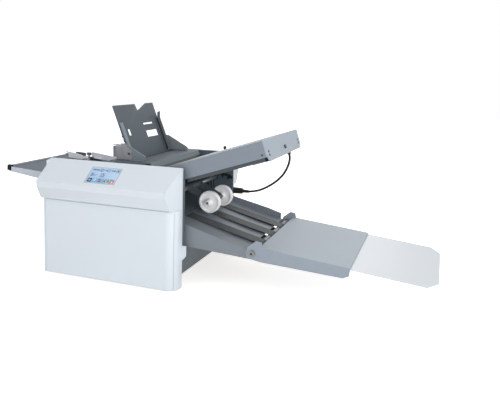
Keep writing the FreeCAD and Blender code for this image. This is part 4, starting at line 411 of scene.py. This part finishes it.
# A node's own finish, then its rules. Where two rules hold for a face, the later one counts.
FINISHES = {
    "near_console_cover": (COVER,),
    "near_front_panel": (COVER,),
    # The right-facing faces of the far cover and far front panel take painted shade, a darker
    # copy of the cover plastic.
    "far_console_cover": (COVER, (to_the_right, COVER_SHADED)),
    "far_front_panel": (COVER, (to_the_right, COVER_SHADED)),
    "near_side_frame": (FRAME,),
    # The far side frame takes a lighter copy of the frame paint, as painted light.
    "far_side_frame": (FRAME_LIT,),
    "base_pan": (BASE,),
    "rubber_feet": (FOOT,),
    "cross_bars": (STEEL,),
    "plate_hangers": (FRAME,),
    "touchscreen": (BLACK, (screen_slope, BEZEL)),
    "control_board": (BOARD,),
    "side_switch_box": (PANEL,),
    "rocker_switch": (BLACK,),
    "main_motor": (MOTOR,),
    "motor_pulley": (ZINC,),
    "drive_belts": (BELT,),
    "fold_roller_1": ROLLER,
    "fold_roller_2": ROLLER,
    "fold_roller_3": ROLLER,
    "fold_roller_4": ROLLER,
    "shaft_bushes": (BRONZE,),
    "feed_shaft": (STEEL, (feed_pulley, ZINC)),
    "feed_tyres": (TYRE,),
    "paper_guides": (FRAME,),
    "separator_arm": (NYLON,),
    "separator_pad": (RUBBER,),
    # The hopper base: its lip faces take a lighter copy of the coat as painted light, its deck a
    # darker copy as painted shade, and its downward faces the dark hopper coat as painted shade.
    "hopper_base": (LIP_LIT, (deck, DECK_SHADED), (shaded_underside, HOPPER)),
    "hopper_back_plate": (HOPPER,),
    # The far cheek takes a lighter copy of the cheek coat, as painted light.
    "hopper_bracket": (CHEEK, (far_cheek, CHEEK_LIT), (support_box, MAUVE)),
    "near_side_guide": (PANEL, (paper_side, HOPPER)),
    # The far guide's leg face is painted black, as painted shade beside the hopper plate.
    "far_side_guide": (CHEEK, (shaded_guide_leg, BLACK)),
    "guide_thumb_screws": (BLACK,),
    "left_plate_cover": (FLANGE, (top, DARK_TOP)),
    "plate_sheets": (PANEL,),
    "left_fold_stop": (NYLON,),
    "upper_fold_stop": (NYLON,),
    "left_stop_screw": (STEEL,),
    "upper_stop_screw": (STEEL,),
    "left_plate_arm": (ARM, (arm_pad, HOPPER)),
    "clamp_knob": (CLAMP,),
    "corner_caps": (CAP,),
    # The channel's downward faces take the dark hopper coat, as painted shade under the slanting
    # plate.
    "upper_plate_channel": (PANEL, (channel_foot, RAIL), (shaded_underside, HOPPER)),
    # The end box takes a lighter copy of the grey coat, as painted light.
    "upper_plate_end_box": (PANEL_LIT,),
    "stop_motors": (MOTOR,),
    "panel_screws": (SCREW,),
    "release_lever": (BLACK,),
    "stacker_arm": (FRAME,),
    "stacker_shaft": (STEEL,),
    "stacker_wheels": (WHEEL,),
    "conveyor_bed": (CONVEYOR,),
    "conveyor_belts": (BELT,),
    "conveyor_drive_roller": (ROLL,),
    "conveyor_idle_roller": (ROLL,),
    # The pivot screws' sockets are painted black, as painted shade in the recesses.
    "pivot_screws": (CLAMP, (shaded_pivot_socket, BLACK)),
    # The conveyor extension's top takes a lighter grey coat than its sides, as painted light.
    "conveyor_extension": (EXTENSION, (top, PANEL_LIT)),
    "extension_tray": (TRAY,),
    "cable_plug": (BLACK,),
    "cable_socket": (BLACK,),
}

# Width in mm and least angle in degrees of the rounded edges, and the nodes that have them.
ROUNDED_EDGES = (
    (0.9, 20, ("near_console_cover", "far_console_cover", "near_front_panel",
               "far_front_panel")),
    (0.45, 32, ("hopper_base", "hopper_back_plate", "hopper_bracket", "upper_plate_channel",
                "upper_plate_end_box", "conveyor_bed", "conveyor_extension",
                "left_plate_cover", "left_plate_arm", "extension_tray")),
    (0.35, 32, ("corner_caps", "side_switch_box", "rocker_switch", "near_side_guide",
                "far_side_guide")),
)
WELD_DISTANCE = 1e-6  # in metres
EDGE_SEGMENTS = 2


def paint(mesh, finish, rules):
    """Give a node's faces their finishes."""
    mesh.materials.clear()
    mesh.materials.append(finish)
    for _, other in rules:
        mesh.materials.append(other)
    for face in mesh.polygons:
        face.material_index = 0
        middle = face.center / MM
        for number, (test, _) in enumerate(rules, start=1):
            if test(middle, face.normal):
                face.material_index = number


def round_edges(thing, width, angle):
    """Round the edges that are sharper than an angle, by a width in mm."""
    bevel = thing.modifiers.new("bevel", "BEVEL")
    bevel.width = width * MM
    bevel.segments = EDGE_SEGMENTS
    bevel.limit_method = "ANGLE"
    bevel.angle_limit = math.radians(angle)


def dress_nodes():
    """Finishes on all nodes, and the soft edges of moulded plastic and bent sheet."""
    for name, (finish, *rules) in FINISHES.items():
        paint(NODES[name].data, finish, rules)
    for width, angle, names in ROUNDED_EDGES:
        for name in names:
            weld = NODES[name].modifiers.new("weld", "WELD")
            weld.merge_threshold = WELD_DISTANCE
            round_edges(NODES[name], width, angle)


# ---------------------------------------------------------------- stop cable

CABLE_RADIUS = 0.00275
CABLE_ROUTE = [
    (0.32164, 0.07745, 0.27444),
    (0.3246, 0.0810, 0.2645),
    (0.3230, 0.0885, 0.2502),
    (0.3160, 0.0995, 0.2330),
    (0.3045, 0.1115, 0.2144),
    (0.2890, 0.1230, 0.1976),
    (0.2680, 0.1360, 0.1810),
    (0.2440, 0.1485, 0.1662),
    (0.2220, 0.1610, 0.1566),
    (0.2016, 0.1680, 0.1526),
]


def make_cable():
    """The cable from the end box of the slanting plate to its plug in the far cover."""
    line = bpy.data.curves.new("cable", "CURVE")
    line.dimensions = "3D"
    spline = line.splines.new("NURBS")
    spline.points.add(len(CABLE_ROUTE) - 1)
    for point, spot in zip(spline.points, CABLE_ROUTE):
        point.co = (*spot, 1)
    spline.order_u = 3
    spline.use_endpoint_u = True
    spline.resolution_u = 12
    line.bevel_depth = CABLE_RADIUS
    line.bevel_resolution = 5
    line.use_fill_caps = True
    line.materials.append(JACKET)
    cable = bpy.data.objects.new("cable", line)
    bpy.context.scene.collection.objects.link(cable)
    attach(cable, "machine")
    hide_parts("stop_cable")


# ---------------------------------------------------------------- making a new piece

PIECE_EDGE_ANGLE = 40  # least angle in degrees of an edge that is rounded
SOFT_EDGE = 0.2


def add_piece(name, mesh, finish, slot, body="machine", bevel=0.0):
    """Make a mesh a piece of the machine that rides on a body."""
    mesh.materials.clear()
    mesh.materials.append(finish)
    thing = bpy.data.objects.new(name, mesh)
    bpy.context.scene.collection.objects.link(thing)
    if bevel:
        round_edges(thing, bevel, PIECE_EDGE_ANGLE)
    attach(thing, body)


def piece(name, build, finish, slot, at, **more):
    """A piece whose shape is built in a bmesh and then put in its place."""
    bm = bmesh.new()
    build(bm)
    bmesh.ops.recalc_face_normals(bm, faces=bm.faces)
    bm.transform(at)
    mesh = bpy.data.meshes.new(name)
    bm.to_mesh(mesh)
    bm.free()
    add_piece(name, mesh, finish, slot, **more)


def round_spot(radius, angle):
    return radius * math.cos(angle), radius * math.sin(angle)


def ring_of_points(bm, points, level):
    """Vertices at points in mm, all at one level."""
    return [bm.verts.new((x * MM, y * MM, level * MM)) for x, y in points]


def circle(radius, steps):
    return [round_spot(radius, 2 * math.pi * k / steps) for k in range(steps)]


def join_rings(bm, rings):
    """Faces from each ring of vertices to the next."""
    for first, second in zip(rings, rings[1:]):
        for k, vertex in enumerate(first):
            n = (k + 1) % len(first)
            bm.faces.new((vertex, first[n], second[n], second[k]))


def slab(bm, points, low, high):
    """A flat outline, raised from low to high."""
    face = bm.faces.new(ring_of_points(bm, points, low))
    grown = bmesh.ops.extrude_face_region(bm, geom=[face])
    up = [part for part in grown["geom"] if isinstance(part, bmesh.types.BMVert)]
    bmesh.ops.translate(bm, vec=(0, 0, (high - low) * MM), verts=up)


def flat_ring(bm, outer, inner, low, high):
    """A flat ring between two outlines with the same number of points."""
    rings = [ring_of_points(bm, points, level)
             for points, level in ((outer, low), (outer, high), (inner, high), (inner, low))]
    join_rings(bm, rings + rings[:1])


def lathe(bm, profile, steps):
    """A solid turned about z from (radius, height) points."""
    rings = [ring_of_points(bm, circle(radius, steps), height) for radius, height in profile]
    join_rings(bm, rings)
    bm.faces.new(rings[0])
    bm.faces.new(list(reversed(rings[-1])))


def turned_ring(bm, profile, steps):
    """A closed ring turned about z, its profile a loop of (radius, height) points."""
    rings = [ring_of_points(bm, circle(radius, steps), height) for radius, height in profile]
    join_rings(bm, rings + rings[:1])


def round_rect(cx, cy, wide, tall, radius, steps=5):
    points = []
    for turn, (sx, sy) in enumerate(((1, 1), (-1, 1), (-1, -1), (1, -1))):
        ox, oy = cx + sx * (wide / 2 - radius), cy + sy * (tall / 2 - radius)
        for k in range(steps + 1):
            dx, dy = round_spot(radius, math.pi / 2 * (turn + k / steps))
            points.append((ox + dx, oy + dy))
    return points


# ---------------------------------------------------------------- display
# It is drawn about the middle of the glass, with x to the right and y up the slope.

FIELD = round_rect(0, 0, 73.6, 44.1, 2.2)
FIELD_FOOT, FIELD_TOP = -0.2, 0.02  # from inside the glass to just over it
MARK_HEIGHT = 0.12
ON_A_KEY = 0.13  # marks on a coloured key stand this much over the field
KEY_LINE = 0.6
ROW_TOP, ROW_MIDDLE, ROW_LOW = 14.8, 1.2, -14.9

KEY_OUTLINES = [
    # x, y and size of a square key
    (-9.3, ROW_TOP, 8.5),
    (8.5, ROW_TOP, 8.1),
    (31.3, ROW_TOP, 8.3),
    (-2.3, ROW_MIDDLE, 11.2),
    (-2.3, ROW_LOW, 11.0),
    (10.2, ROW_LOW, 11.0),
]
BLACK_KEY_X, BLUE_KEY_X = -27.4, -15.0
KEY_WIDE, KEY_TALL, KEY_RADIUS = 10.8, 11.0, 2.2
START_LEFT, STOP_RIGHT = 17.5, 34.2  # the two halves of the wide key, split by its diagonal
START_FOOT, START_HEAD = ROW_LOW - 5.5, ROW_LOW + 5.5
HALF_GAP, CLIPPED = 1.2, 0.8  # the gap between the halves, and their clipped corners
KEY_CORNER, KEY_INNER_CORNER = 2.0, 1.6
ARROW_X = -27.8
ARROW_BOX = (ARROW_X, 0.8, 6.6, 8.8, 0.3, 0.25)  # x, y, width, height and its corners' radii


def bar(bm, x0, y0, x1, y1, thick, level=FIELD_TOP):
    """A straight stroke between two points, with square ends."""
    run = Vector((x1 - x0, y1 - y0))
    side = Vector((-run.y, run.x)).normalized() * thick / 2
    points = [(x0 + side.x, y0 + side.y), (x0 - side.x, y0 - side.y),
              (x1 - side.x, y1 - side.y), (x1 + side.x, y1 + side.y)]
    slab(bm, points, level, level + MARK_HEIGHT)


def loop_of_bars(bm, points, thick, level=FIELD_TOP):
    for (x0, y0), (x1, y1) in zip(points, points[1:] + points[:1]):
        bar(bm, x0, y0, x1, y1, thick, level)


def arc(bm, cx, cy, radius, thick, start, end, level=FIELD_TOP, steps=18):
    """A curved stroke from a start to an end in degrees."""
    rows = []
    for k in range(steps + 1):
        a = math.radians(start + (end - start) * k / steps)
        rows.append([(cx + r * math.cos(a), cy + r * math.sin(a))
                     for r in (radius - thick / 2, radius + thick / 2)])
    for (i0, o0), (i1, o1) in zip(rows, rows[1:]):
        slab(bm, [i0, o0, o1, i1], level, level + MARK_HEIGHT)


def key_outline(bm, x, y, wide, tall, radius, inner_radius):
    flat_ring(bm, round_rect(x, y, wide, tall, radius),
              round_rect(x, y, wide - 2 * KEY_LINE, tall - 2 * KEY_LINE, inner_radius),
              FIELD_TOP, FIELD_TOP + MARK_HEIGHT)


def top_row_symbols(bm):
    """A turning mark, a gauge with its needle, less and more."""
    arc(bm, -9.3, ROW_TOP, 2.5, 0.95, 60, 380)
    gauge_x, gauge_y = 0.5, ROW_TOP - 1.2
    arc(bm, gauge_x, gauge_y, 3.0, 1.0, -20, 200)
    bar(bm, gauge_x, gauge_y, 2.0, ROW_TOP + 0.9, 1.0)
    bar(bm, 6.2, ROW_TOP, 10.8, ROW_TOP, 1.4)
    bar(bm, 28.9, ROW_TOP, 33.7, ROW_TOP, 1.4)
    bar(bm, 31.3, ROW_TOP - 2.4, 31.3, ROW_TOP + 2.4, 1.4)


def double_arrow(bm):
    """A length arrow, which points up and down in its box."""
    low, high, head, barb = -2.2, 3.8, 1.6, 1.5
    bar(bm, ARROW_X, low, ARROW_X, high, 0.8)
    for side in (-1, 1):
        bar(bm, ARROW_X + barb * side, high - head, ARROW_X, high, 0.8)
        bar(bm, ARROW_X + barb * side, low + head, ARROW_X, low, 0.8)


def sheet_symbol(bm):
    """A sheet of paper with its folded edge."""
    loop_of_bars(bm, [(-5.2, 3.4), (-1.6, 4.8), (0.8, -1.4), (-2.8, -2.8)], 0.8)
    loop_of_bars(bm, [(-1.6, 4.8), (-0.4, 4.2), (2.0, -2.0), (0.8, -1.4)], 0.6)


def low_row_symbols(bm):
    """A disk and a cross."""
    loop_of_bars(bm, [(-5.3, ROW_LOW + 3.0), (-0.1, ROW_LOW + 3.0), (0.6, ROW_LOW + 2.2),
                      (0.6, ROW_LOW - 3.0), (-5.3, ROW_LOW - 3.0)], 1.0)
    bar(bm, -3.9, ROW_LOW + 1.9, -0.9, ROW_LOW + 1.9, 2.0)
    bar(bm, -4.1, ROW_LOW - 1.6, -0.6, ROW_LOW - 1.6, 1.6)
    bar(bm, 7.5, ROW_LOW - 2.9, 12.8, ROW_LOW + 2.6, 1.5)
    bar(bm, 7.5, ROW_LOW + 2.9, 12.8, ROW_LOW - 2.6, 1.5)


def dark_marks(bm):
    for x, y, size in KEY_OUTLINES:
        key_outline(bm, x, y, size, size, KEY_CORNER, KEY_INNER_CORNER)
    key_outline(bm, *ARROW_BOX)
    top_row_symbols(bm)
    double_arrow(bm)
    sheet_symbol(bm)
    low_row_symbols(bm)


def white_marks(bm):
    """Two pages on the blue key, and a sign on each half of the wide key."""
    level = FIELD_TOP + ON_A_KEY
    page_wide, page_tall = 3.6, 5
    for dx, dy in ((-2.4, -2.6), (-0.8, -1.0)):
        left, foot = BLUE_KEY_X + dx, ROW_LOW + dy
        right, head = left + page_wide, foot + page_tall
        loop_of_bars(bm, [(left, head), (right, head), (right, foot), (left, foot)], 0.7, level)
    loop_of_bars(bm, [(20.0, ROW_LOW + 2.4), (22.2, ROW_LOW + 4.4), (24.4, ROW_LOW + 2.4),
                      (22.2, ROW_LOW + 0.4)], 0.5, level)
    bar(bm, 22.2, ROW_LOW + 1.5, 22.2, ROW_LOW + 3.3, 0.6, level)
    arc(bm, 29.8, ROW_LOW - 2.4, 2.1, 0.5, 0, 360, level)
    loop_of_bars(bm, [(28.6, ROW_LOW - 1.7), (31.0, ROW_LOW - 1.7), (29.8, ROW_LOW - 3.7)],
                 0.5, level)


def key_block(points):
    return lambda bm: slab(bm, points, FIELD_TOP, FIELD_TOP + MARK_HEIGHT)


def square_key(x):
    return key_block(round_rect(x, ROW_LOW, KEY_WIDE, KEY_TALL, KEY_RADIUS))


START_KEY = [(START_LEFT, START_FOOT + CLIPPED), (STOP_RIGHT - HALF_GAP, START_HEAD),
             (START_LEFT + CLIPPED, START_HEAD), (START_LEFT, START_HEAD - CLIPPED)]
STOP_KEY = [(START_LEFT + HALF_GAP, START_FOOT), (STOP_RIGHT - CLIPPED, START_FOOT),
            (STOP_RIGHT, START_FOOT + CLIPPED), (STOP_RIGHT, START_HEAD - CLIPPED)]

DISPLAY_PIECES = (
    # piece, finish and what builds it
    ("display_field", DISPLAY, lambda bm: slab(bm, FIELD, FIELD_FOOT, FIELD_TOP)),
    ("display_marks", INK, dark_marks),
    ("display_black_key", INK_BLACK, square_key(BLACK_KEY_X)),
    ("display_blue_key", INK_BLUE, square_key(BLUE_KEY_X)),
    ("display_start_key", INK_GREEN, key_block(START_KEY)),
    ("display_stop_key", INK_RED, key_block(STOP_KEY)),
    ("display_white_marks", INK_WHITE, white_marks),
)

DISPLAY_FIGURES = (
    # piece, figures, the left, right, foot and head of their space, finish and level
    ("display_counter", "000000", (-32.7, -15.3, 12.7, 17.0), INK, FIELD_TOP),
    ("display_speed", "90%", (15.1, 24.8, 12.9, 16.9), INK, FIELD_TOP),
    ("display_length", '11"', (-22.8, -14.8, -1.7, 2.1), INK, FIELD_TOP),
    ("display_count", "1X", (-30.9, -23.9, -17.2, -12.6), INK_WHITE, FIELD_TOP + 0.1),
)
LETTER_THICKNESS, LETTER_WEIGHT = 0.01, 0.012  # for letters of size 1
LETTER_FLATTENING = 0.006
LETTER_MIDDLE = 0.07  # how far the middle of their thickness stands over their level


def figures(name, text, space, finish, level):
    """Plain figures on the display, drawn with Blender's own letters to fill a space."""
    font = bpy.data.curves.new(name, "FONT")
    font.body = text
    font.size = 1
    font.extrude = LETTER_THICKNESS
    font.offset = LETTER_WEIGHT
    maker = bpy.data.objects.new(name + "_maker", font)
    bpy.context.scene.collection.objects.link(maker)
    bpy.context.view_layer.update()
    shaped = maker.evaluated_get(bpy.context.evaluated_depsgraph_get())
    mesh = bpy.data.meshes.new_from_object(shaped)
    bpy.data.objects.remove(maker)
    left, right, foot, head = (edge * MM for edge in space)
    across = [v.co.x for v in mesh.vertices]
    up = [v.co.y for v in mesh.vertices]
    wide = (right - left) / (max(across) - min(across))
    tall = (head - foot) / (max(up) - min(up))
    middle = (level + LETTER_MIDDLE) * MM
    for v in mesh.vertices:
        v.co = (left + (v.co.x - min(across)) * wide, foot + (v.co.y - min(up)) * tall,
                middle + v.co.z * LETTER_FLATTENING)
    mesh.transform(GLASS)
    mesh.name = name
    add_piece(name, mesh, finish, "screen")


def make_display():
    """The lit field and its generic keys and figures, on the glass of the touchscreen."""
    for name, finish, build in DISPLAY_PIECES:
        piece(name, build, finish, "screen", GLASS)
    for row in DISPLAY_FIGURES:
        figures(*row)


# ---------------------------------------------------------------- wheels and small fittings

WHEEL_X, WHEEL_Z = 176.8, 164
WHEEL_MIDDLES = (("near", -41.0), ("far", 41.0))
WHEEL_HALF = 4.5
RIM_STEPS, HUB_STEPS, AXLE_STEPS, FITTING_STEPS = 64, 40, 24, 28  # sides of a turned piece

# Profiles of turned pieces, as radius and height over the face that they stand on.
RIM = [(23.9, -0.3), (23.9, 0.54), (23.4, 0.9), (21.0, 0.9), (20.2, -0.3)]
LONG_HUB = [(0.5, -0.4), (8.6, -0.4), (8.2, 1.4), (6.4, 2.6), (5.6, 12.0), (5.0, 12.6),
            (2.7, 12.6), (2.6, 12.1), (0.5, 12.1)]
SHORT_HUB = [(0.5, -0.4), (8.6, -0.4), (8.2, 1.4), (6.4, 2.6), (5.8, 6.4), (5.2, 6.9),
             (3.6, 6.9), (0.5, 6.6)]
AXLE_END = [(0.4, 11.9), (3.3, 11.9), (3.2, 12.9), (1.9, 13.0), (0.4, 12.6)]
GLAND = [(0.5, -1.0), (6.2, -1.0), (6.2, 1.6), (5.0, 2.2), (4.2, 7.5), (3.4, 8.6), (2.9, 8.8),
         (0.5, 8.8)]

# The black strip at the foot of the hopper lip is painted shade, in the dark gap under the lip.
LIP_SHADE_STRIP = [(80.6, 244.9), (81.4, 245.1), (84.1, 240.2), (83.9, 239.8), (81.0, 239.8),
             (78.6, 244.2)]
LIP_SHADE_STRIP_HALF = 131.5

CLAMP_MIDDLE = (-303.5, 113.4, 15.3)  # on the left plate
KNURL_RADIUS, KNURL_TEETH, KNURL_GROOVE, KNURL_RIDGE = 6.4, 26, 0.05, 0.45
KNURL_FOOT, KNURL_HEAD = 1.2, 5.8
CLAMP_STRIP_HALF = 1
CLAMP_STRIP = [(-310, 0), (-257, 0), (-257, 4.5), (-300, 5.2), (-310, 3.4)]
CLAMP_STRIP_SPOT = (0, 100, 6.5)

ARC_MIDDLE = (138, 151.9, 154.5)
ARC_STEPS, ARC_START, ARC_SPAN = 20, 52, 76
ARC_OUTER, ARC_INNER, ARC_TOOTH, ARC_THICKNESS = 44, 38.0, 31.5, 3.0
ARC_TOOTH_EVERY, ARC_TOOTH_STEPS = 7, (3, 4)
FRAME_RIBS, RIB_START, RIB_PITCH, RIB_THICKNESS = 4, 98.5, 4.6, 5.0
RIB_OUTLINE = [(0, 189), (2.2, 190), (5.4, 152), (3.2, 151)]
RIB_SPOT = (0, 152, 0)

PLUG_RIBS, PLUG_RIB_START, PLUG_RIB_PITCH = 7, 162.4, 3.2
PLUG_Y, PLUG_Z = 168, 152.6
PLUG_REACH, PLUG_TAPER, PLUG_CORE = 8.2, 0.12, 3.0  # radii, and what each rib loses
PLUG_RIB_WIDTH, PLUG_CHAMFER = 2.7, 0.3


def wheel_details():
    """A raised rim and a hub on each side of the stacker wheels, and the ends of their axle."""
    for name, y in WHEEL_MIDDLES:
        for side, label in ((-1, "left"), (1, "right")):
            outer = (y < 0) == (side < 0)
            hub = LONG_HUB if outer else SHORT_HUB
            at = facing((WHEEL_X, y + WHEEL_HALF * side, WHEEL_Z), (0, side, 0))
            piece(f"wheel_rim_{name}_{label}", lambda bm: turned_ring(bm, RIM, RIM_STEPS),
                  WHEEL, "wheel_white", at, body="stacker_wheels")
            piece(f"wheel_hub_{name}_{label}", lambda bm: lathe(bm, hub, HUB_STEPS),
                  WHEEL, "wheel_white", at, body="stacker_wheels")
            if outer:
                piece(f"wheel_axle_end_{name}", lambda bm: lathe(bm, AXLE_END, AXLE_STEPS),
                      NYLON, "black_plastic", at, body="stacker_wheels")


def lip_shade_strip():
    """A black strip along the foot of the hopper lip: painted shade in the dark gap between the
    lip and the slanting plate below.
    """
    piece("lip_shade_strip", lambda bm: slab(bm, LIP_SHADE_STRIP, -LIP_SHADE_STRIP_HALF, LIP_SHADE_STRIP_HALF),
          BLACK, "black_plastic", UPRIGHT, bevel=SOFT_EDGE)


def clamp_knurl():
    """Fine ribs round the clamp knob."""
    points = []
    for k in range(KNURL_TEETH * 2):
        reach = KNURL_RADIUS + (KNURL_RIDGE if k % 2 else KNURL_GROOVE)
        points.append(round_spot(reach, math.pi * k / KNURL_TEETH))
    piece("clamp_knurl", lambda bm: slab(bm, points, KNURL_FOOT, KNURL_HEAD), CLAMP, "steel",
          LEFT @ moved(CLAMP_MIDDLE), body="clamp_knob")


def toothed_arc():
    """The arc with inward teeth on the far side frame, behind the wheels."""
    angles = [math.radians(ARC_START + ARC_SPAN * k / ARC_STEPS) for k in range(ARC_STEPS + 1)]
    points = [round_spot(ARC_OUTER, angle) for angle in angles]
    for k in range(ARC_STEPS, -1, -1):
        tooth = k % ARC_TOOTH_EVERY in ARC_TOOTH_STEPS
        points.append(round_spot(ARC_TOOTH if tooth else ARC_INNER, angles[k]))
    piece("toothed_arc", lambda bm: slab(bm, points, 0, ARC_THICKNESS), BLACK, "black_plastic",
          facing(ARC_MIDDLE, (0, -1, 0)), bevel=SOFT_EDGE)


def frame_ribs():
    """The ribbed strip on the far side frame, its ribs pale and dark by turns: painted light and
    shade on the ribs.
    """
    at = moved(RIB_SPOT) @ UPRIGHT
    # Every other rib takes the pale grey coat and the rest the dark frame paint, as painted light
    # and shade.
    for k in range(FRAME_RIBS):
        points = [(RIB_START + RIB_PITCH * k + x, z) for x, z in RIB_OUTLINE]
        piece(f"rib_{k + 1}", lambda bm: slab(bm, points, 0, RIB_THICKNESS),
              PANEL if k % 2 == 0 else FRAME, "frame_grey", at, bevel=SOFT_EDGE)


def cable_gland():
    """The gland where the cable leaves the end box."""
    first, second = (Vector(point) for point in CABLE_ROUTE[:2])
    piece("cable_gland", lambda bm: lathe(bm, GLAND, FITTING_STEPS), BLACK, "black_plastic",
          facing(first / MM, second - first))


def plug_ribs():
    """Grip ribs round the plug, each a little lower than the one before."""
    for k in range(PLUG_RIBS):
        reach = PLUG_REACH - PLUG_TAPER * k
        neck = reach - PLUG_CHAMFER
        rib = [(PLUG_CORE, 0), (neck, 0), (reach, PLUG_CHAMFER),
               (reach, PLUG_RIB_WIDTH - PLUG_CHAMFER), (neck, PLUG_RIB_WIDTH),
               (PLUG_CORE, PLUG_RIB_WIDTH)]
        spot = (PLUG_RIB_START + PLUG_RIB_PITCH * k, PLUG_Y, PLUG_Z)
        piece(f"plug_rib_{k + 1}", lambda bm: lathe(bm, rib, FITTING_STEPS), BLACK,
              "black_plastic", facing(spot, (1, 0, 0)))


def clamp_strip():
    """A black strip under the clamp, along the left plate."""
    piece("clamp_strip", lambda bm: slab(bm, CLAMP_STRIP, -CLAMP_STRIP_HALF, CLAMP_STRIP_HALF),
          BLACK, "black_plastic",
          LEFT @ moved(CLAMP_STRIP_SPOT) @ UPRIGHT, bevel=SOFT_EDGE)


# ---------------------------------------------------------------- studio

WHITE = (1, 1, 1, 1)
FLOOR_HALF, FLOOR_LEVEL = 6, -0.0004
FLOOR_TINT = (1, 0.985, 0.965, 1)
FLOOR_GLOW = 0.68  # as seen directly: it adds nothing to the soft light on the machine
SURROUND_LIGHT, SURROUND_SEEN = 0.57, 1.0  # in the soft light, and as seen directly
LAMPS = (
    # name, place, aim, side of its square and power
    ("key", (-0.9, -1.9, 1.7), (0.05, 0, 0.12), 1.6, 8.2),
    ("fill", (1.9, -0.9, 0.7), (0.1, 0, 0.12), 1.4, 16.5),
    ("low", (0.95, -1.8, 0.22), (0.2, 0, 0.14), 1.0, 8.6),
    ("top", (0.1, 0.4, 2.2), (0.1, 0, 0.1), 1.8, 6.4),
    ("back", (-0.3, 2.2, 1.0), (0.05, 0, 0.12), 1.8, 11),
)


def seen_directly(nodes, links):
    """One for rays from the eye, in a mirror or through glass, and nothing for the rest."""
    path = nodes.new("ShaderNodeLightPath")
    either = path.outputs["Is Camera Ray"]
    for kind in ("Is Glossy Ray", "Is Transmission Ray"):
        larger = nodes.new("ShaderNodeMath")
        larger.operation = "MAXIMUM"
        links.new(either, larger.inputs[0])
        links.new(path.outputs[kind], larger.inputs[1])
        either = larger.outputs[0]
    return either


def make_floor():
    """A pale floor that keeps the machine's shadow."""
    mesh = bpy.data.meshes.new("floor")
    bm = bmesh.new()
    bmesh.ops.create_grid(bm, x_segments=1, y_segments=1, size=FLOOR_HALF)
    bm.to_mesh(mesh)
    bm.free()
    tree = Tree("floor_paper")
    speck = tree.noise(tree.place(), 6)
    pale = tree.mix(tree.between(speck, 0, 1), (0.93, 0.925, 0.915), (0.94, 0.935, 0.925))
    tree.link(pale, tree.shader.inputs["Base Color"])
    tree.set(Roughness=0.9, Emission_Color=FLOOR_TINT)
    glow = tree.between(seen_directly(tree.nodes, tree.links), 0.0, FLOOR_GLOW, 0, 1)
    tree.link(glow, tree.shader.inputs["Emission Strength"])
    mesh.materials.append(tree.material)
    floor = bpy.data.objects.new("floor", mesh)
    floor.location.z = FLOOR_LEVEL
    bpy.context.scene.collection.objects.link(floor)


def make_surround():
    """A white surround that is brighter to the eye than in the soft light it gives."""
    world = bpy.data.worlds.new("surround")
    bpy.context.scene.world = world
    world.use_nodes = True
    nodes, links = world.node_tree.nodes, world.node_tree.links
    light = nodes["Background"]
    seen = nodes.new("ShaderNodeBackground")
    for background, strength in ((light, SURROUND_LIGHT), (seen, SURROUND_SEEN)):
        background.inputs["Color"].default_value = WHITE
        background.inputs["Strength"].default_value = strength
    blend = nodes.new("ShaderNodeMixShader")
    links.new(seen_directly(nodes, links), blend.inputs[0])
    links.new(light.outputs[0], blend.inputs[1])
    links.new(seen.outputs[0], blend.inputs[2])
    links.new(blend.outputs[0], nodes["World Output"].inputs["Surface"])


def make_lamps():
    for name, spot, aim, size, power in LAMPS:
        data = bpy.data.lights.new(name, "AREA")
        data.size = size
        data.energy = power
        lamp = bpy.data.objects.new(name, data)
        bpy.context.scene.collection.objects.link(lamp)
        lamp.location = spot
        lamp.rotation_mode = "QUATERNION"
        lamp.rotation_quaternion = (Vector(aim) - Vector(spot)).to_track_quat("-Z", "Y")


# ---------------------------------------------------------------- the scene

make_camera()
dress_nodes()
make_cable()
make_display()
wheel_details()
lip_shade_strip()
clamp_knurl()
toothed_arc()
frame_ribs()
cable_gland()
plug_ribs()
clamp_strip()
make_floor()
make_surround()
make_lamps()
bpy.context.scene.view_settings.view_transform = "Standard"
